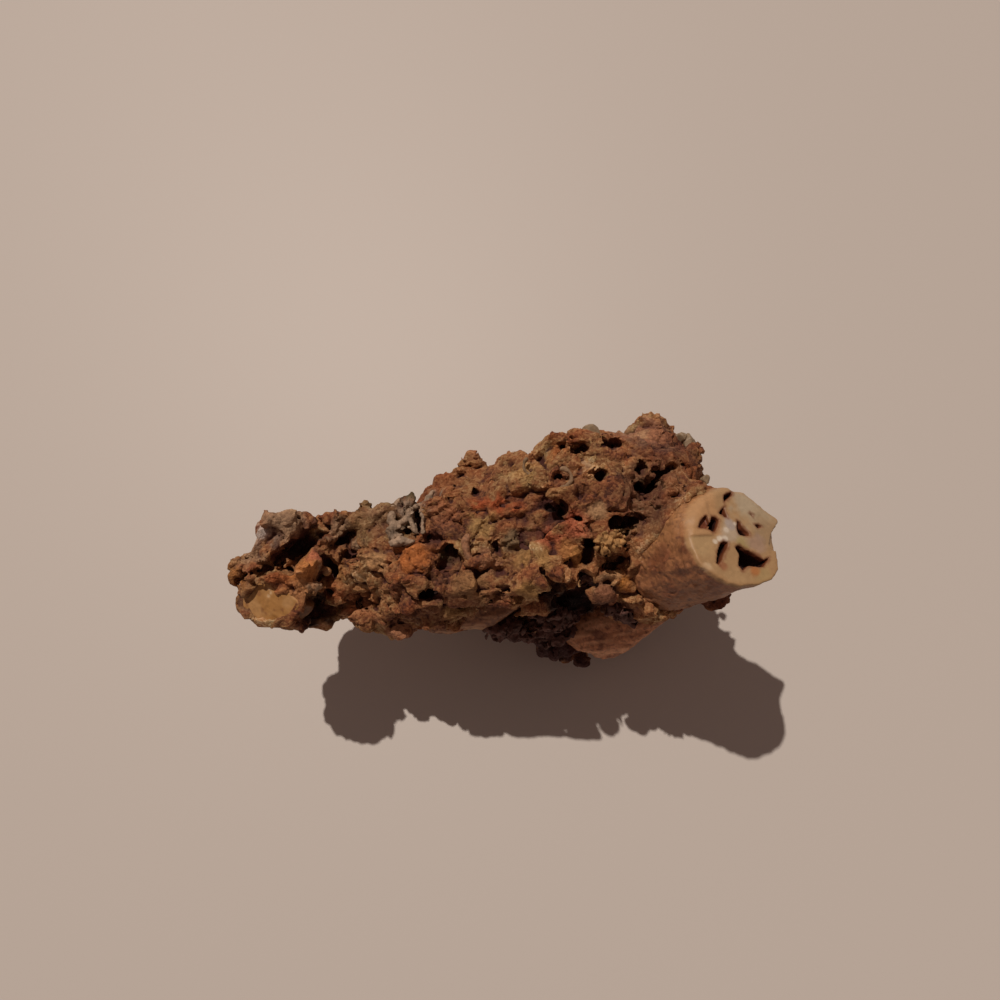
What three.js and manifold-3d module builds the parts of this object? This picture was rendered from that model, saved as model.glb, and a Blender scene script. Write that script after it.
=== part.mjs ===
// A fossil coral hand specimen, 75 mm long: a knobbly, iron-stained crust full of hollows that binds
// four broken coral branches. The thickest branch rises out of the east end and shows the cavities
// between its septa, two more lie low along the south side, and the tip of the fourth is broken off in
// the knob at the west end.
//
// Millimetres, +Z up. X runs along the specimen from the west knob to the east branch, Y is north,
// and Z = 0 is the worn flat that it rests on. The origin is the middle of the specimen, seen from
// above.

import * as THREE from "three";
import { ImprovedNoise } from "three/addons/math/ImprovedNoise.js";
import { mergeVertices } from "three/addons/utils/BufferGeometryUtils.js";
import Module from "manifold-3d";

const wasm = await Module();
wasm.setup();

// ---------------------------------------------------------------- driving dimensions

const CLEARANCE = 0.3; // gap between a branch and the crust around it
const FACET = 2.8; // length of a facet's edge on the crust
const CRUST_SWELL = 0.16; // how far noise pushes a lump's surface, as a share of its radius
const CRUST_WAVE = 5; // length of that noise's waves
const BRANCH_SWELL = 0.035; // the same share for a branch's side
const BRANCH_WAVE = 6; // length of the noise's waves on a branch's side

// The crust's lumps, from the west knob to the east end: [x, y, z, radius].
const LUMPS = {
  knob: [
    [-27.4, -4.7, 25.8, 6.2],
    [-28.4, -2, 21.6, 4.6],
    [-27, -0.9, 28.4, 3.9],
    [-30.5, -2.2, 27.6, 3.2],
    [-34.2, -5.6, 26.8, 2.4],
    [-31.2, -8.8, 26.4, 3.2],
    [-27, -9, 24, 3.5],
  ],
  neck: [
    [-23, -0.3, 23, 3.7],
    [-22.5, -3.9, 21, 5.6],
    [-22.9, -7.9, 17.5, 3.6],
    [-18, 1.3, 24.4, 2.9],
  ],
  saddle: [
    [-14.4, -3.2, 22.8, 6.4],
    [-13, 1.5, 25, 3.9],
    [-14.7, -8.6, 18.5, 4.7],
    [-13.9, -12.1, 18, 2.3],
    [-8.5, -5, 22.5, 8.4],
    [-10.5, 3.2, 25, 2.0],
  ],
  rim: [
    [-8, -9.6, 27.6, 2.6],
    [-4.9, -9.2, 28.9, 2.5],
    [-2.1, -9.3, 28.9, 2.5],
    [1, -9, 28.9, 2.5],
    [3.4, -9.3, 29.2, 2.4],
    [6.2, -8.6, 31, 2.4],
    [8.8, -7.9, 31.4, 2.4],
    [13.6, -7.5, 29.2, 2.3],
  ],
  body: [
    [-4, -1.7, 21.2, 10.4],
    [-5.5, 6.9, 23, 3.2],
    [6, 0, 20, 12.8],
    [8.5, 11.4, 22, 3.4],
    [16.5, 12.6, 22, 3.9],
    [24.2, 13.2, 22.5, 5.2],
    [28.3, 9.8, 23, 4.1],
    [22, 5, 24, 8.6],
    [14.5, 2.2, 21, 13.6],
    [24.5, 1, 28, 6.4],
    [28, 3.5, 30, 2.2],
  ],
  foot: [
    [12.5, 0, 11, 11.5],
    [11.5, 1, 8, 9.4],
    [10, -9, 9, 5.3],
    [22, -2, 14, 7.6],
    [26.5, -5.5, 22, 4.0],
    [26, -3.5, 17, 4.6],
    [4, 2, 6, 8.0],
    [19, 4, 6, 8.0],
    [12, -6, 6, 7.5],
  ],
  scraps: [
    [11.4, -13.6, 8.4, 2.8],
    [8, -12, 10, 3.0],
    [13.4, -15, 6.8, 2.0],
    [31, -8, 22.5, 2.4],
  ],
  horn: [
    [-3, 9.6, 22.5, 2.3],
    [-3, 11.6, 22.8, 1.3],
  ],
};

// The larger hollows in the crust: [x, y, z, length, width, depth, turn about Z in degrees].
const HOLLOWS = {
  knobCave: [-25.2, -4.2, 30.5, 9, 3.6, 7, 38],
  knobSide: [-24, -11, 24, 3, 4, 5, 0],
  neckWell: [-22.4, -6.6, 27, 3.2, 2.6, 5, 20],
  neckHole: [-19.2, -2.6, 27.6, 2.8, 2.6, 4.5, 0],
  saddleWell: [-4.8, -5, 30.6, 3.2, 3, 4.5, 0],
  recessWest: [9.5, -12.6, 21.5, 7, 8, 9, 0],
  recessMiddle: [14.5, -12.2, 22, 9, 8.6, 10, 10],
  recessEast: [19.5, -11.6, 21.5, 7, 7, 9, 20],
  sideLedge: [-1, -14, 22.6, 15, 6.6, 6.6, 5],
  stubWell: [18.8, -3.4, 32.6, 3.6, 2.6, 5, 10],
  shelfWell: [16.6, -7, 31, 3.2, 2.4, 5, 0],
  ridgeWell: [17.2, 9.4, 31.2, 2.8, 3.2, 5, 0],
  ridgeSlot: [11.8, 9, 31.2, 4, 2.2, 5, 0],
  eastChannel: [22.6, 4.6, 33, 6.4, 2.8, 5, 40],
  northCave: [7, 14, 17, 6, 5, 5, 0],
  northPocket: [18, 15.5, 17, 5, 5, 4.5, 0],
  northWest: [-4, 8.4, 17, 5, 5, 4.5, 0],
  northEast: [28.5, 8, 15, 5, 5, 5, 0],
  saddleUnder: [-11, -4, 13.4, 6, 6, 4, 0],
  knobUnder: [-29, -3, 16.8, 5, 5, 4, 0],
};

// A branch: the middle of its broken end, the way it grows, how far it reaches back into the crust,
// its radius at the end and at the root, the way its broken face looks, and how many rings of how
// many sides its mesh has.
const UPPER_BRANCH = {
  end: [31.7, -4.1, 35.3],
  grows: [0.62, 0.02, 0.785],
  length: 20,
  radius: 6.9,
  rootRadius: 7.5,
  faces: [0.32, 0.16, 0.93],
  rings: 9,
  sides: 28,
};
const LOWER_BRANCH = {
  end: [26.6, -9.6, 14.6],
  grows: [0.94, 0.16, 0.31],
  length: 17,
  radius: 4.7,
  rootRadius: 4.9,
  faces: [0.94, 0.16, 0.31],
  rings: 8,
  sides: 22,
};
const SIDE_BRANCH = {
  end: [5.5, -9, 18.8],
  grows: [0.98, 0.1, 0.14],
  length: 15,
  radius: 3.2,
  rootRadius: 3.4,
  faces: [0.98, 0.1, 0.14],
  rings: 6,
  sides: 18,
};
const TIP_BRANCH = {
  end: [-30.3, -9.8, 28],
  grows: [-0.3, -0.35, 0.89],
  length: 6,
  radius: 3.6,
  rootRadius: 3.3,
  faces: [-0.2, -0.36, 0.91],
  rings: 3,
  sides: 14,
};

// The flat worn underneath, and the slanting breaks that cut the two low branches short: a point on
// each and the way it faces.
const WORN_FLAT = { at: [0, 0, 0], faces: [0, 0, -1] };
const LOWER_BREAK = { at: [23, -12.6, 13], faces: [0.6, -0.79, -0.1] };
const SIDE_BREAK = { at: [2.4, -10.6, 18.4], faces: [0.6, -0.78, -0.2] };

// The cavities between the upper branch's septa, on its broken face from its middle:
// [across, up, length, width, turn in degrees].
const SEPTAL_CAVITIES = [
  [-3.4, 1.0, 2.9, 1.8, 25],
  [-0.6, 3.9, 3.6, 0.9, 60],
  [1.0, 0.5, 2.4, 1.1, -57],
  [-2.5, -2.8, 3.1, 1.0, 65],
  [1.6, -3.1, 4.6, 2.2, -14],
];
const CAVITY_DEPTH = 4;
const RIM_CHIP = { across: 7.4, up: -0.7, size: [2.0, 2.2, 2.4] }; // broken out of the east rim

// ---------------------------------------------------------------- solids

const noise = new ImprovedNoise();

// Two octaves of noise at a point, from about -1 to 1.
function roughness(point, wave) {
  const [x, y, z] = [point.x / wave, point.y / wave, point.z / wave];
  return noise.noise(x, y, z) + 0.45 * noise.noise(2.3 * x + 7, 2.3 * y + 7, 2.3 * z + 7);
}

// A geometry with only its places, and the points that are at one place made one.
function welded(geometry) {
  const bare = geometry.clone();
  bare.deleteAttribute("normal");
  bare.deleteAttribute("uv");
  return mergeVertices(bare, 1e-4);
}

// A closed geometry as a manifold-3d solid.
function solidOf(geometry) {
  const closed = welded(geometry);
  return new wasm.Manifold(
    new wasm.Mesh({
      numProp: 3,
      vertProperties: closed.attributes.position.array,
      triVerts: new Uint32Array(closed.index.array),
    }),
  );
}

// A manifold-3d solid as a three.js geometry.
function geometryOf(solid) {
  const mesh = solid.getMesh();
  return new THREE.BufferGeometry()
    .setAttribute("position", new THREE.BufferAttribute(mesh.vertProperties, 3))
    .setIndex(new THREE.BufferAttribute(mesh.triVerts, 1));
}

// The same geometry with every point moved by a function.
function reshaped(geometry, move) {
  const place = geometry.attributes.position;
  const point = new THREE.Vector3();
  for (let i = 0; i < place.count; i++) {
    move(point.fromBufferAttribute(place, i));
    place.setXYZ(i, point.x, point.y, point.z);
  }
  return geometry;
}

// A ball, or an ellipsoid, whose surface is pushed in and out by noise.
function lump(centre, size, turn = 0) {
  const detail = Math.max(1, Math.round((1.1 * Math.max(...size)) / FACET) - 1);
  const ball = welded(new THREE.IcosahedronGeometry(1, detail));
  const up = new THREE.Vector3(0, 0, 1);
  const place = new THREE.Vector3(...centre);
  const stretch = new THREE.Vector3(...size);
  reshaped(ball, (point) => {
    point.multiply(stretch).applyAxisAngle(up, THREE.MathUtils.degToRad(turn));
    const swell = 1 + CRUST_SWELL * roughness(point.clone().add(place), CRUST_WAVE);
    point.multiplyScalar(swell).add(place);
  });
  return solidOf(ball);
}

// Two directions that span the plane a direction looks out of: across and up.
function planeOf(direction) {
  const out = new THREE.Vector3(...direction).normalize();
  const up = new THREE.Vector3(0, 1, 0).addScaledVector(out, -out.y).normalize();
  return { out, up, across: up.clone().cross(out) };
}

// A broken branch: a rough cylinder whose ends lie along its broken face. It is grown all round by
// the clearance where it is cut out of the crust.
function branch(shape, clearance = 0) {
  const { across, up } = planeOf(shape.faces);
  const grows = new THREE.Vector3(...shape.grows).normalize();
  const length = shape.length + 2 * clearance;
  const end = new THREE.Vector3(...shape.end).addScaledVector(grows, clearance);
  const cylinder = welded(new THREE.CylinderGeometry(1, 1, 1, shape.sides, shape.rings));
  reshaped(cylinder, (point) => {
    const back = 0.5 - point.y;
    const radius = THREE.MathUtils.lerp(shape.radius, shape.rootRadius, back) + clearance;
    const side = across.clone().multiplyScalar(point.x * radius).addScaledVector(up, -point.z * radius);
    point.copy(end).addScaledVector(grows, -length * back);
    const swell = 1 + BRANCH_SWELL * roughness(point.clone().add(side), BRANCH_WAVE);
    point.addScaledVector(side, swell);
  });
  return solidOf(cylinder);
}

// A block that takes away what lies beyond a flat break.
function beyond(flat) {
  const { out } = planeOf(flat.faces);
  const side = 150;
  const block = new THREE.BoxGeometry(side, side, side).translate(0, 0, side / 2);
  block.applyQuaternion(new THREE.Quaternion().setFromUnitVectors(new THREE.Vector3(0, 0, 1), out));
  return solidOf(block.translate(...flat.at));
}

// A pointed oval prism that is sunk into a branch's broken face.
function septalCavity(shape, [x, y, length, width, turn]) {
  const { out, across, up } = planeOf(shape.faces);
  const grows = new THREE.Vector3(...shape.grows).normalize();
  const outline = new THREE.Shape()
    .moveTo(-length / 2, 0)
    .quadraticCurveTo(-length / 6, -width, length / 2, 0)
    .quadraticCurveTo(length / 6, width, -length / 2, 0);
  const prism = new THREE.ExtrudeGeometry(outline, {
    depth: CAVITY_DEPTH + 1,
    bevelEnabled: false,
    curveSegments: 4,
  });
  prism.rotateZ(THREE.MathUtils.degToRad(turn));
  const end = new THREE.Vector3(...shape.end);
  return solidOf(
    reshaped(prism, (point) => {
      const { x: px, y: py, z: pz } = point;
      point.copy(end).addScaledVector(out, 1);
      point.addScaledVector(across, x + px).addScaledVector(up, y + py);
      point.addScaledVector(grows, pz - CAVITY_DEPTH - 1);
    }),
  );
}

const joined = (solids) => solids.reduce((sum, solid) => sum.add(solid));
const cut = (solid, tools) => solid.subtract(joined(tools));

// ---------------------------------------------------------------- the pieces

function crustSolid(branches) {
  const lumps = Object.values(LUMPS).flat();
  const mass = joined(lumps.map(([x, y, z, r]) => lump([x, y, z], [r, r, r])));
  const hollows = Object.values(HOLLOWS).map(([x, y, z, length, width, depth, turn]) =>
    lump([x, y, z], [length / 2, width / 2, depth / 2], turn),
  );
  const under = beyond(WORN_FLAT);
  const sockets = branches.map((shape) => branch(shape, CLEARANCE));
  return cut(mass, [...hollows, ...sockets, under]);
}

function upperBranchSolid() {
  const shape = UPPER_BRANCH;
  const { across, up } = planeOf(shape.faces);
  const rim = new THREE.Vector3(...shape.end)
    .addScaledVector(across, RIM_CHIP.across)
    .addScaledVector(up, RIM_CHIP.up);
  const chip = lump(rim.toArray(), RIM_CHIP.size);
  const cavities = SEPTAL_CAVITIES.map((cavity) => septalCavity(shape, cavity));
  return cut(branch(shape), [...cavities, chip]);
}

// The lower branch stops short of the upper one, which it forks from.
function lowerBranchSolid() {
  return cut(branch(LOWER_BRANCH), [beyond(LOWER_BREAK), branch(UPPER_BRANCH, CLEARANCE)]);
}

// ---------------------------------------------------------------- the specimen

const stone = (color, roughnessValue) =>
  new THREE.MeshStandardMaterial({ color, roughness: roughnessValue, metalness: 0 });

const pieces = {
  crust: [crustSolid([UPPER_BRANCH, LOWER_BRANCH, SIDE_BRANCH, TIP_BRANCH]), stone(0x8a5a38, 0.95)],
  upper_branch: [upperBranchSolid(), stone(0xd9c3a0, 0.7)],
  lower_branch: [lowerBranchSolid(), stone(0xb08a66, 0.8)],
  side_branch: [cut(branch(SIDE_BRANCH), [beyond(SIDE_BREAK)]), stone(0xb08a66, 0.8)],
  tip_branch: [branch(TIP_BRANCH), stone(0xc79a5e, 0.6)],
};

const specimen = new THREE.Group();
specimen.name = "fossil_coral";
for (const [name, [solid, material]] of Object.entries(pieces)) {
  const mesh = new THREE.Mesh(geometryOf(solid), material);
  mesh.name = name;
  specimen.add(mesh);
}

const middle = new THREE.Box3().setFromObject(specimen).getCenter(new THREE.Vector3());
specimen.position.set(-middle.x, -middle.y, 0);

export default specimen;
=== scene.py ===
"""The looks of a fossil coral hand specimen: a knobbly, iron-stained crust that binds broken branches.

Every length in the tables below is in millimetres, in the specimen's own frame: X runs from the west
knob to the east branch, Y is north, and Z is up from the worn flat that it rests on.
"""

import copy
import math
from concurrent.futures import ThreadPoolExecutor
from functools import lru_cache, partial
from itertools import product

import bpy
import numpy as np
import openvdb as vdb
from bpy.props import FloatProperty, FloatVectorProperty, PointerProperty
from mathutils import Matrix, Vector


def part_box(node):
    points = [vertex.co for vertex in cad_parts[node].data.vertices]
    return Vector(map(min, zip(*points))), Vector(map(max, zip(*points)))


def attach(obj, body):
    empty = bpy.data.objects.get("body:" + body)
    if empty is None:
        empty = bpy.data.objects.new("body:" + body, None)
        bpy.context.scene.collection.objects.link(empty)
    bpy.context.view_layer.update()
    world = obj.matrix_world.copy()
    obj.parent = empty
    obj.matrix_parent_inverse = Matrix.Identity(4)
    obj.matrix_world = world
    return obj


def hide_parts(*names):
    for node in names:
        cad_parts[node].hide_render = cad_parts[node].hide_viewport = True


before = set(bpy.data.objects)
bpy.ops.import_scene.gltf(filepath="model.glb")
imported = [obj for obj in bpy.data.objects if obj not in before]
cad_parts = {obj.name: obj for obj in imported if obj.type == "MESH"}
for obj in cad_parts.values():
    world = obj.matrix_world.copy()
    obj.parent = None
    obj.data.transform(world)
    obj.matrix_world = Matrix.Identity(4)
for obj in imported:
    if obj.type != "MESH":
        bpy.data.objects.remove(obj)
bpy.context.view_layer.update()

bl_info = {
    "name": "Fossil coral specimen",
    "version": (1, 0, 0),
    "blender": (4, 5, 0),
    "location": "3D View > Sidebar > Fossil coral",
    "description": "Builds the crust, branches and small encrusting pieces of a fossil coral specimen",
    "category": "Object",
}

MM = 0.001
BODY = "root"
MOST_TRIANGLES = 197000  # in one piece


def floats(numbers):
    """Numbers as an array of single-precision floats."""
    return np.array(numbers, np.float32)


def lengths(vectors):
    """How long each vector is."""
    return np.linalg.norm(vectors, axis=1)


def dots(first, second):
    """The dot product of each pair of vectors."""
    return np.einsum("ij,ij->i", first, second)


# ---------------------------------------------------------------- colours (linear)

PALE_BUFF = (0.62, 0.42, 0.24)
OCHRE = (0.44, 0.21, 0.06)
ORANGE = (0.46, 0.15, 0.035)
RUST = (0.26, 0.075, 0.022)
RED_RUST = (0.34, 0.075, 0.022)
PINK_BROWN = (0.38, 0.155, 0.075)
RED_PINK = (0.42, 0.115, 0.055)
PURPLE_BROWN = (0.075, 0.024, 0.018)
# Painted shade: the near-black that stands for deep shade in hollows, gaps and the recess.
DEEP_PAINTED_SHADE = (0.02, 0.008, 0.006)
OLIVE = (0.19, 0.135, 0.055)
DARK_OLIVE = (0.07, 0.055, 0.025)
GREY_BUFF = (0.34, 0.235, 0.15)
GREY_WHITE = (0.50, 0.42, 0.33)
COOL_WHITE = (0.56, 0.50, 0.46)
YELLOW_BUFF = (0.50, 0.32, 0.12)

# ---------------------------------------------------------------- the crust's larger forms

# Angular chunks that are added to the crust: [x, y, z, radius east, radius north, radius up].
LUMPS = {
    "collar": [17.4, -8.8, 28.4, 2.2, 1.5, 1.6],
    "collar_low": [19.4, -11.6, 25.0, 2.4, 1.3, 1.3],
    "collar_west": [15.6, -6.4, 30.4, 1.6, 1.5, 1.3],
    "rosette_seat": [15.4, -4.8, 32.2, 2.2, 1.8, 1.0],
    "front_block": [10.4, -6.0, 31.2, 1.7, 1.5, 1.2],
    "front_block_west": [6.4, -6.2, 31.0, 1.7, 1.4, 1.1],
    "nub": [-14.2, -13.6, 19.6, 1.9, 1.7, 1.5],
    "buff_cap": [22.6, 12.2, 26.2, 3.0, 1.8, 1.5],
    "face_ridge": [-29.8, -8.1, 30.0, 2.6, 1.0, 0.9],
    "cap": [-28.8, -0.9, 30.9, 4.0, 2.4, 1.5],
    "cap_west": [-31.4, -1.4, 27.6, 2.4, 2.1, 2.6],
    "horn_foot": [-3.9, 9.2, 23.2, 2.6, 1.8, 1.9],
    "horn": [-3.7, 10.6, 23.2, 1.6, 1.6, 1.6],
    "neck_crest": [-23.6, 1.4, 25.2, 2.2, 1.2, 1.5],
    "gap_floor": [-25.2, -10.2, 20.7, 3.4, 2.9, 1.7],
    "north_crystal_seat": [14.2, 13.6, 24.4, 2.0, 1.4, 1.2],
    "olive_lump": [3.0, -3.7, 30.6, 2.0, 1.7, 1.0],
    "pale_olive": [-1.0, -1.2, 31.2, 1.3, 1.2, 0.8],
    "side_cover": [-6.0, -12.4, 20.4, 2.6, 1.2, 2.0],
    "low_row": [-8.7, -13.0, 24.8, 2.0, 1.2, 1.3],
    "low_row_east": [-3.4, -12.2, 25.8, 2.0, 1.1, 1.2],
    "neck_base": [-19.0, -12.0, 20.2, 2.9, 1.3, 1.5],
    "recess_step": [15.0, -9.6, 27.4, 1.8, 1.3, 1.2],
    "red_ridge": [-22.8, -9.3, 23.7, 1.3, 1.6, 1.3],
    "stub_foot": [29.6, -10.4, 22.6, 1.5, 1.0, 1.0],
    "shell_low": [10.6, -15.4, 11.6, 1.8, 0.9, 0.8],
    "net_block": [-11.0, 3.7, 27.5, 1.7, 1.2, 1.3],
    "neck_top": [-19.6, 0.6, 26.0, 1.8, 1.2, 1.2],
    "neck_foot": [-21.8, -10.4, 18.8, 2.2, 1.2, 1.5],
}

# Chunks of older coral whose facets stay bare of crumbs, as the lumps above.
BARE_LUMPS = {
    "tan_facet": [-15.8, -5.7, 28.2, 1.9, 1.5, 1.2],
    "orange_facet": [-9.9, -7.6, 29.8, 1.2, 1.0, 0.8],
    "yellow_chunk": [4.8, -10.9, 31.4, 2.1, 1.5, 1.6],
    "yellow_facet": [17.2, -9.3, 28.2, 1.7, 1.3, 1.4],
    "pale_lump": [14.0, -1.3, 33.7, 1.6, 1.3, 1.1],
    "low_slab": [-3.5, -12.0, 29.9, 2.2, 1.1, 1.1],
    "shell_lip": [-0.6, -6.4, 30.0, 2.1, 1.2, 0.9],
    "nub_facet": [-14.0, -13.8, 20.0, 1.7, 1.4, 1.1],
    "row_slab": [-6.9, -12.4, 25.8, 1.9, 1.0, 1.0],
    "buff_facet": [6.4, -6.0, 31.0, 2.0, 1.4, 0.9],
    "grey_bit": [-23.9, -6.0, 26.8, 0.8, 0.6, 0.6],
    "grey_bit_low": [-22.9, -6.8, 26.5, 0.8, 0.6, 0.6],
    "pale_bit": [-23.7, -9.0, 28.4, 1.1, 0.6, 0.6],
}

# Bare chunks that stand in the hollows.
HOLLOW_LUMPS = {
    "recess_block": [14.8, -10.7, 28.4, 1.9, 1.2, 1.5],
    "pale_rim": [15.9, -8.5, 29.8, 1.3, 0.7, 0.8],
    "neck_bridge": [-19.2, -2.6, 26.4, 1.1, 1.0, 0.9],
    "gap_bit": [-23.2, -6.3, 26.4, 0.7, 0.6, 0.6],
    "cap_notch": [-25.1, 0.7, 24.8, 1.5, 1.0, 1.5],
    "cap_side": [-31.5, -1.1, 28.9, 1.6, 1.5, 1.9],
}

# Parts of the rim that are cut back before the crumbs are added, as the hollows below.
CUTS = {
    "north": [
        [
            (8.4, 14.4, 28.5, 1.7),
            (9.8, 13.5, 28.5, 2.0),
            (11.6, 13.6, 28.5, 2.0),
            (13.0, 14.4, 28.5, 1.6),
        ],
        5.0,
    ],
    "north_west": [[(-15.8, 4.2, 27.5, 1.7), (-14.4, 3.9, 27.5, 1.7), (-13.2, 4.5, 27.5, 1.5)], 6.0],
    "neck": [
        [
            (-22.4, 2.5, 28.0, 1.1),
            (-21.3, 1.4, 28.0, 1.1),
            (-20.4, 2.5, 28.0, 1.1),
            (-19.2, 2.5, 28.0, 1.1),
        ],
        5.0,
    ],
    "knob": [
        [
            (-34.6, -3.9, 29.0, 1.5),
            (-34.0, -2.2, 29.0, 1.6),
            (-33.4, -0.4, 29.0, 1.5),
            (-32.8, 1.2, 29.0, 1.4),
        ],
        4.5,
    ],
    "north_east": [
        [
            (31.0, 12.0, 28.5, 2.6),
            (31.7, 9.9, 28.5, 3.2),
            (32.5, 8.4, 28.5, 3.4),
            (32.9, 6.0, 28.5, 3.0),
        ],
        8.0,
    ],
}

# What is cut off the crumbs round the horn, as the hollows below.
TRIMS = {
    "horn_west": [
        [
            (-7.3, 10.5, 23.5, 1.4),
            (-6.5, 11.2, 23.5, 1.4),
            (-5.9, 12.3, 23.5, 1.4),
            (-5.4, 13.4, 23.5, 1.4),
        ],
        5.0,
    ],
    "horn_east": [[(-1.8, 13.2, 23.5, 1.2), (-1.2, 12.1, 23.5, 1.2), (-0.7, 11.2, 23.5, 1.0)], 5.0],
}

# The corners of the boxes round the upper branch's foot and round the crust's south rim.
SLEEVE_BOX = ((10, -14, 18), (32, 4, 36))
RIM_BOX = ((-22, -18, 16), (16, 4, 40))

# Where the crust ends on the upper branch's wall: up in its face, and along its growth from it.
SLEEVE_END = [(-3, -13.0), (-0.2, -9.5), (1.5, -5.6), (4, -3.6), (8, -2.6)]

LAMP_FROM = (-243, 526, 1000)  # the way to the lamp

# How far south the crust's rim reaches: the x and y where a line along the lamp's light, which
# touches the rim, meets the table.
RIM_REACH = [
    (-13.2, -40), (-12.4, -24.0), (-10.0, -25.3), (-5.5, -27.7), (-1.2, -27.4), (8.2, -27.4),
    (14.4, -28.0), (20.7, -26.7), (21.5, -40),
]  # fmt: skip

# The orange wedge beside the cave: its corners, and the three corners of each of its facets.
WEDGE = [
    (-24.9, -3.0, 28.4), (-28.0, -6.1, 27.4), (-26.4, -9.8, 29.3), (-25.3, -10.2, 28.0),
    (-23.3, -5.5, 28.8), (-24.9, -7.0, 30.7), (-25.4, -6.8, 23.5),
]  # fmt: skip
WEDGE_FACETS = [
    (0, 1, 5), (1, 2, 5), (2, 3, 5), (3, 4, 5), (4, 0, 5), (0, 1, 6), (1, 2, 6), (2, 3, 6), (3, 4, 6),
    (4, 0, 6),
]  # fmt: skip

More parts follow.
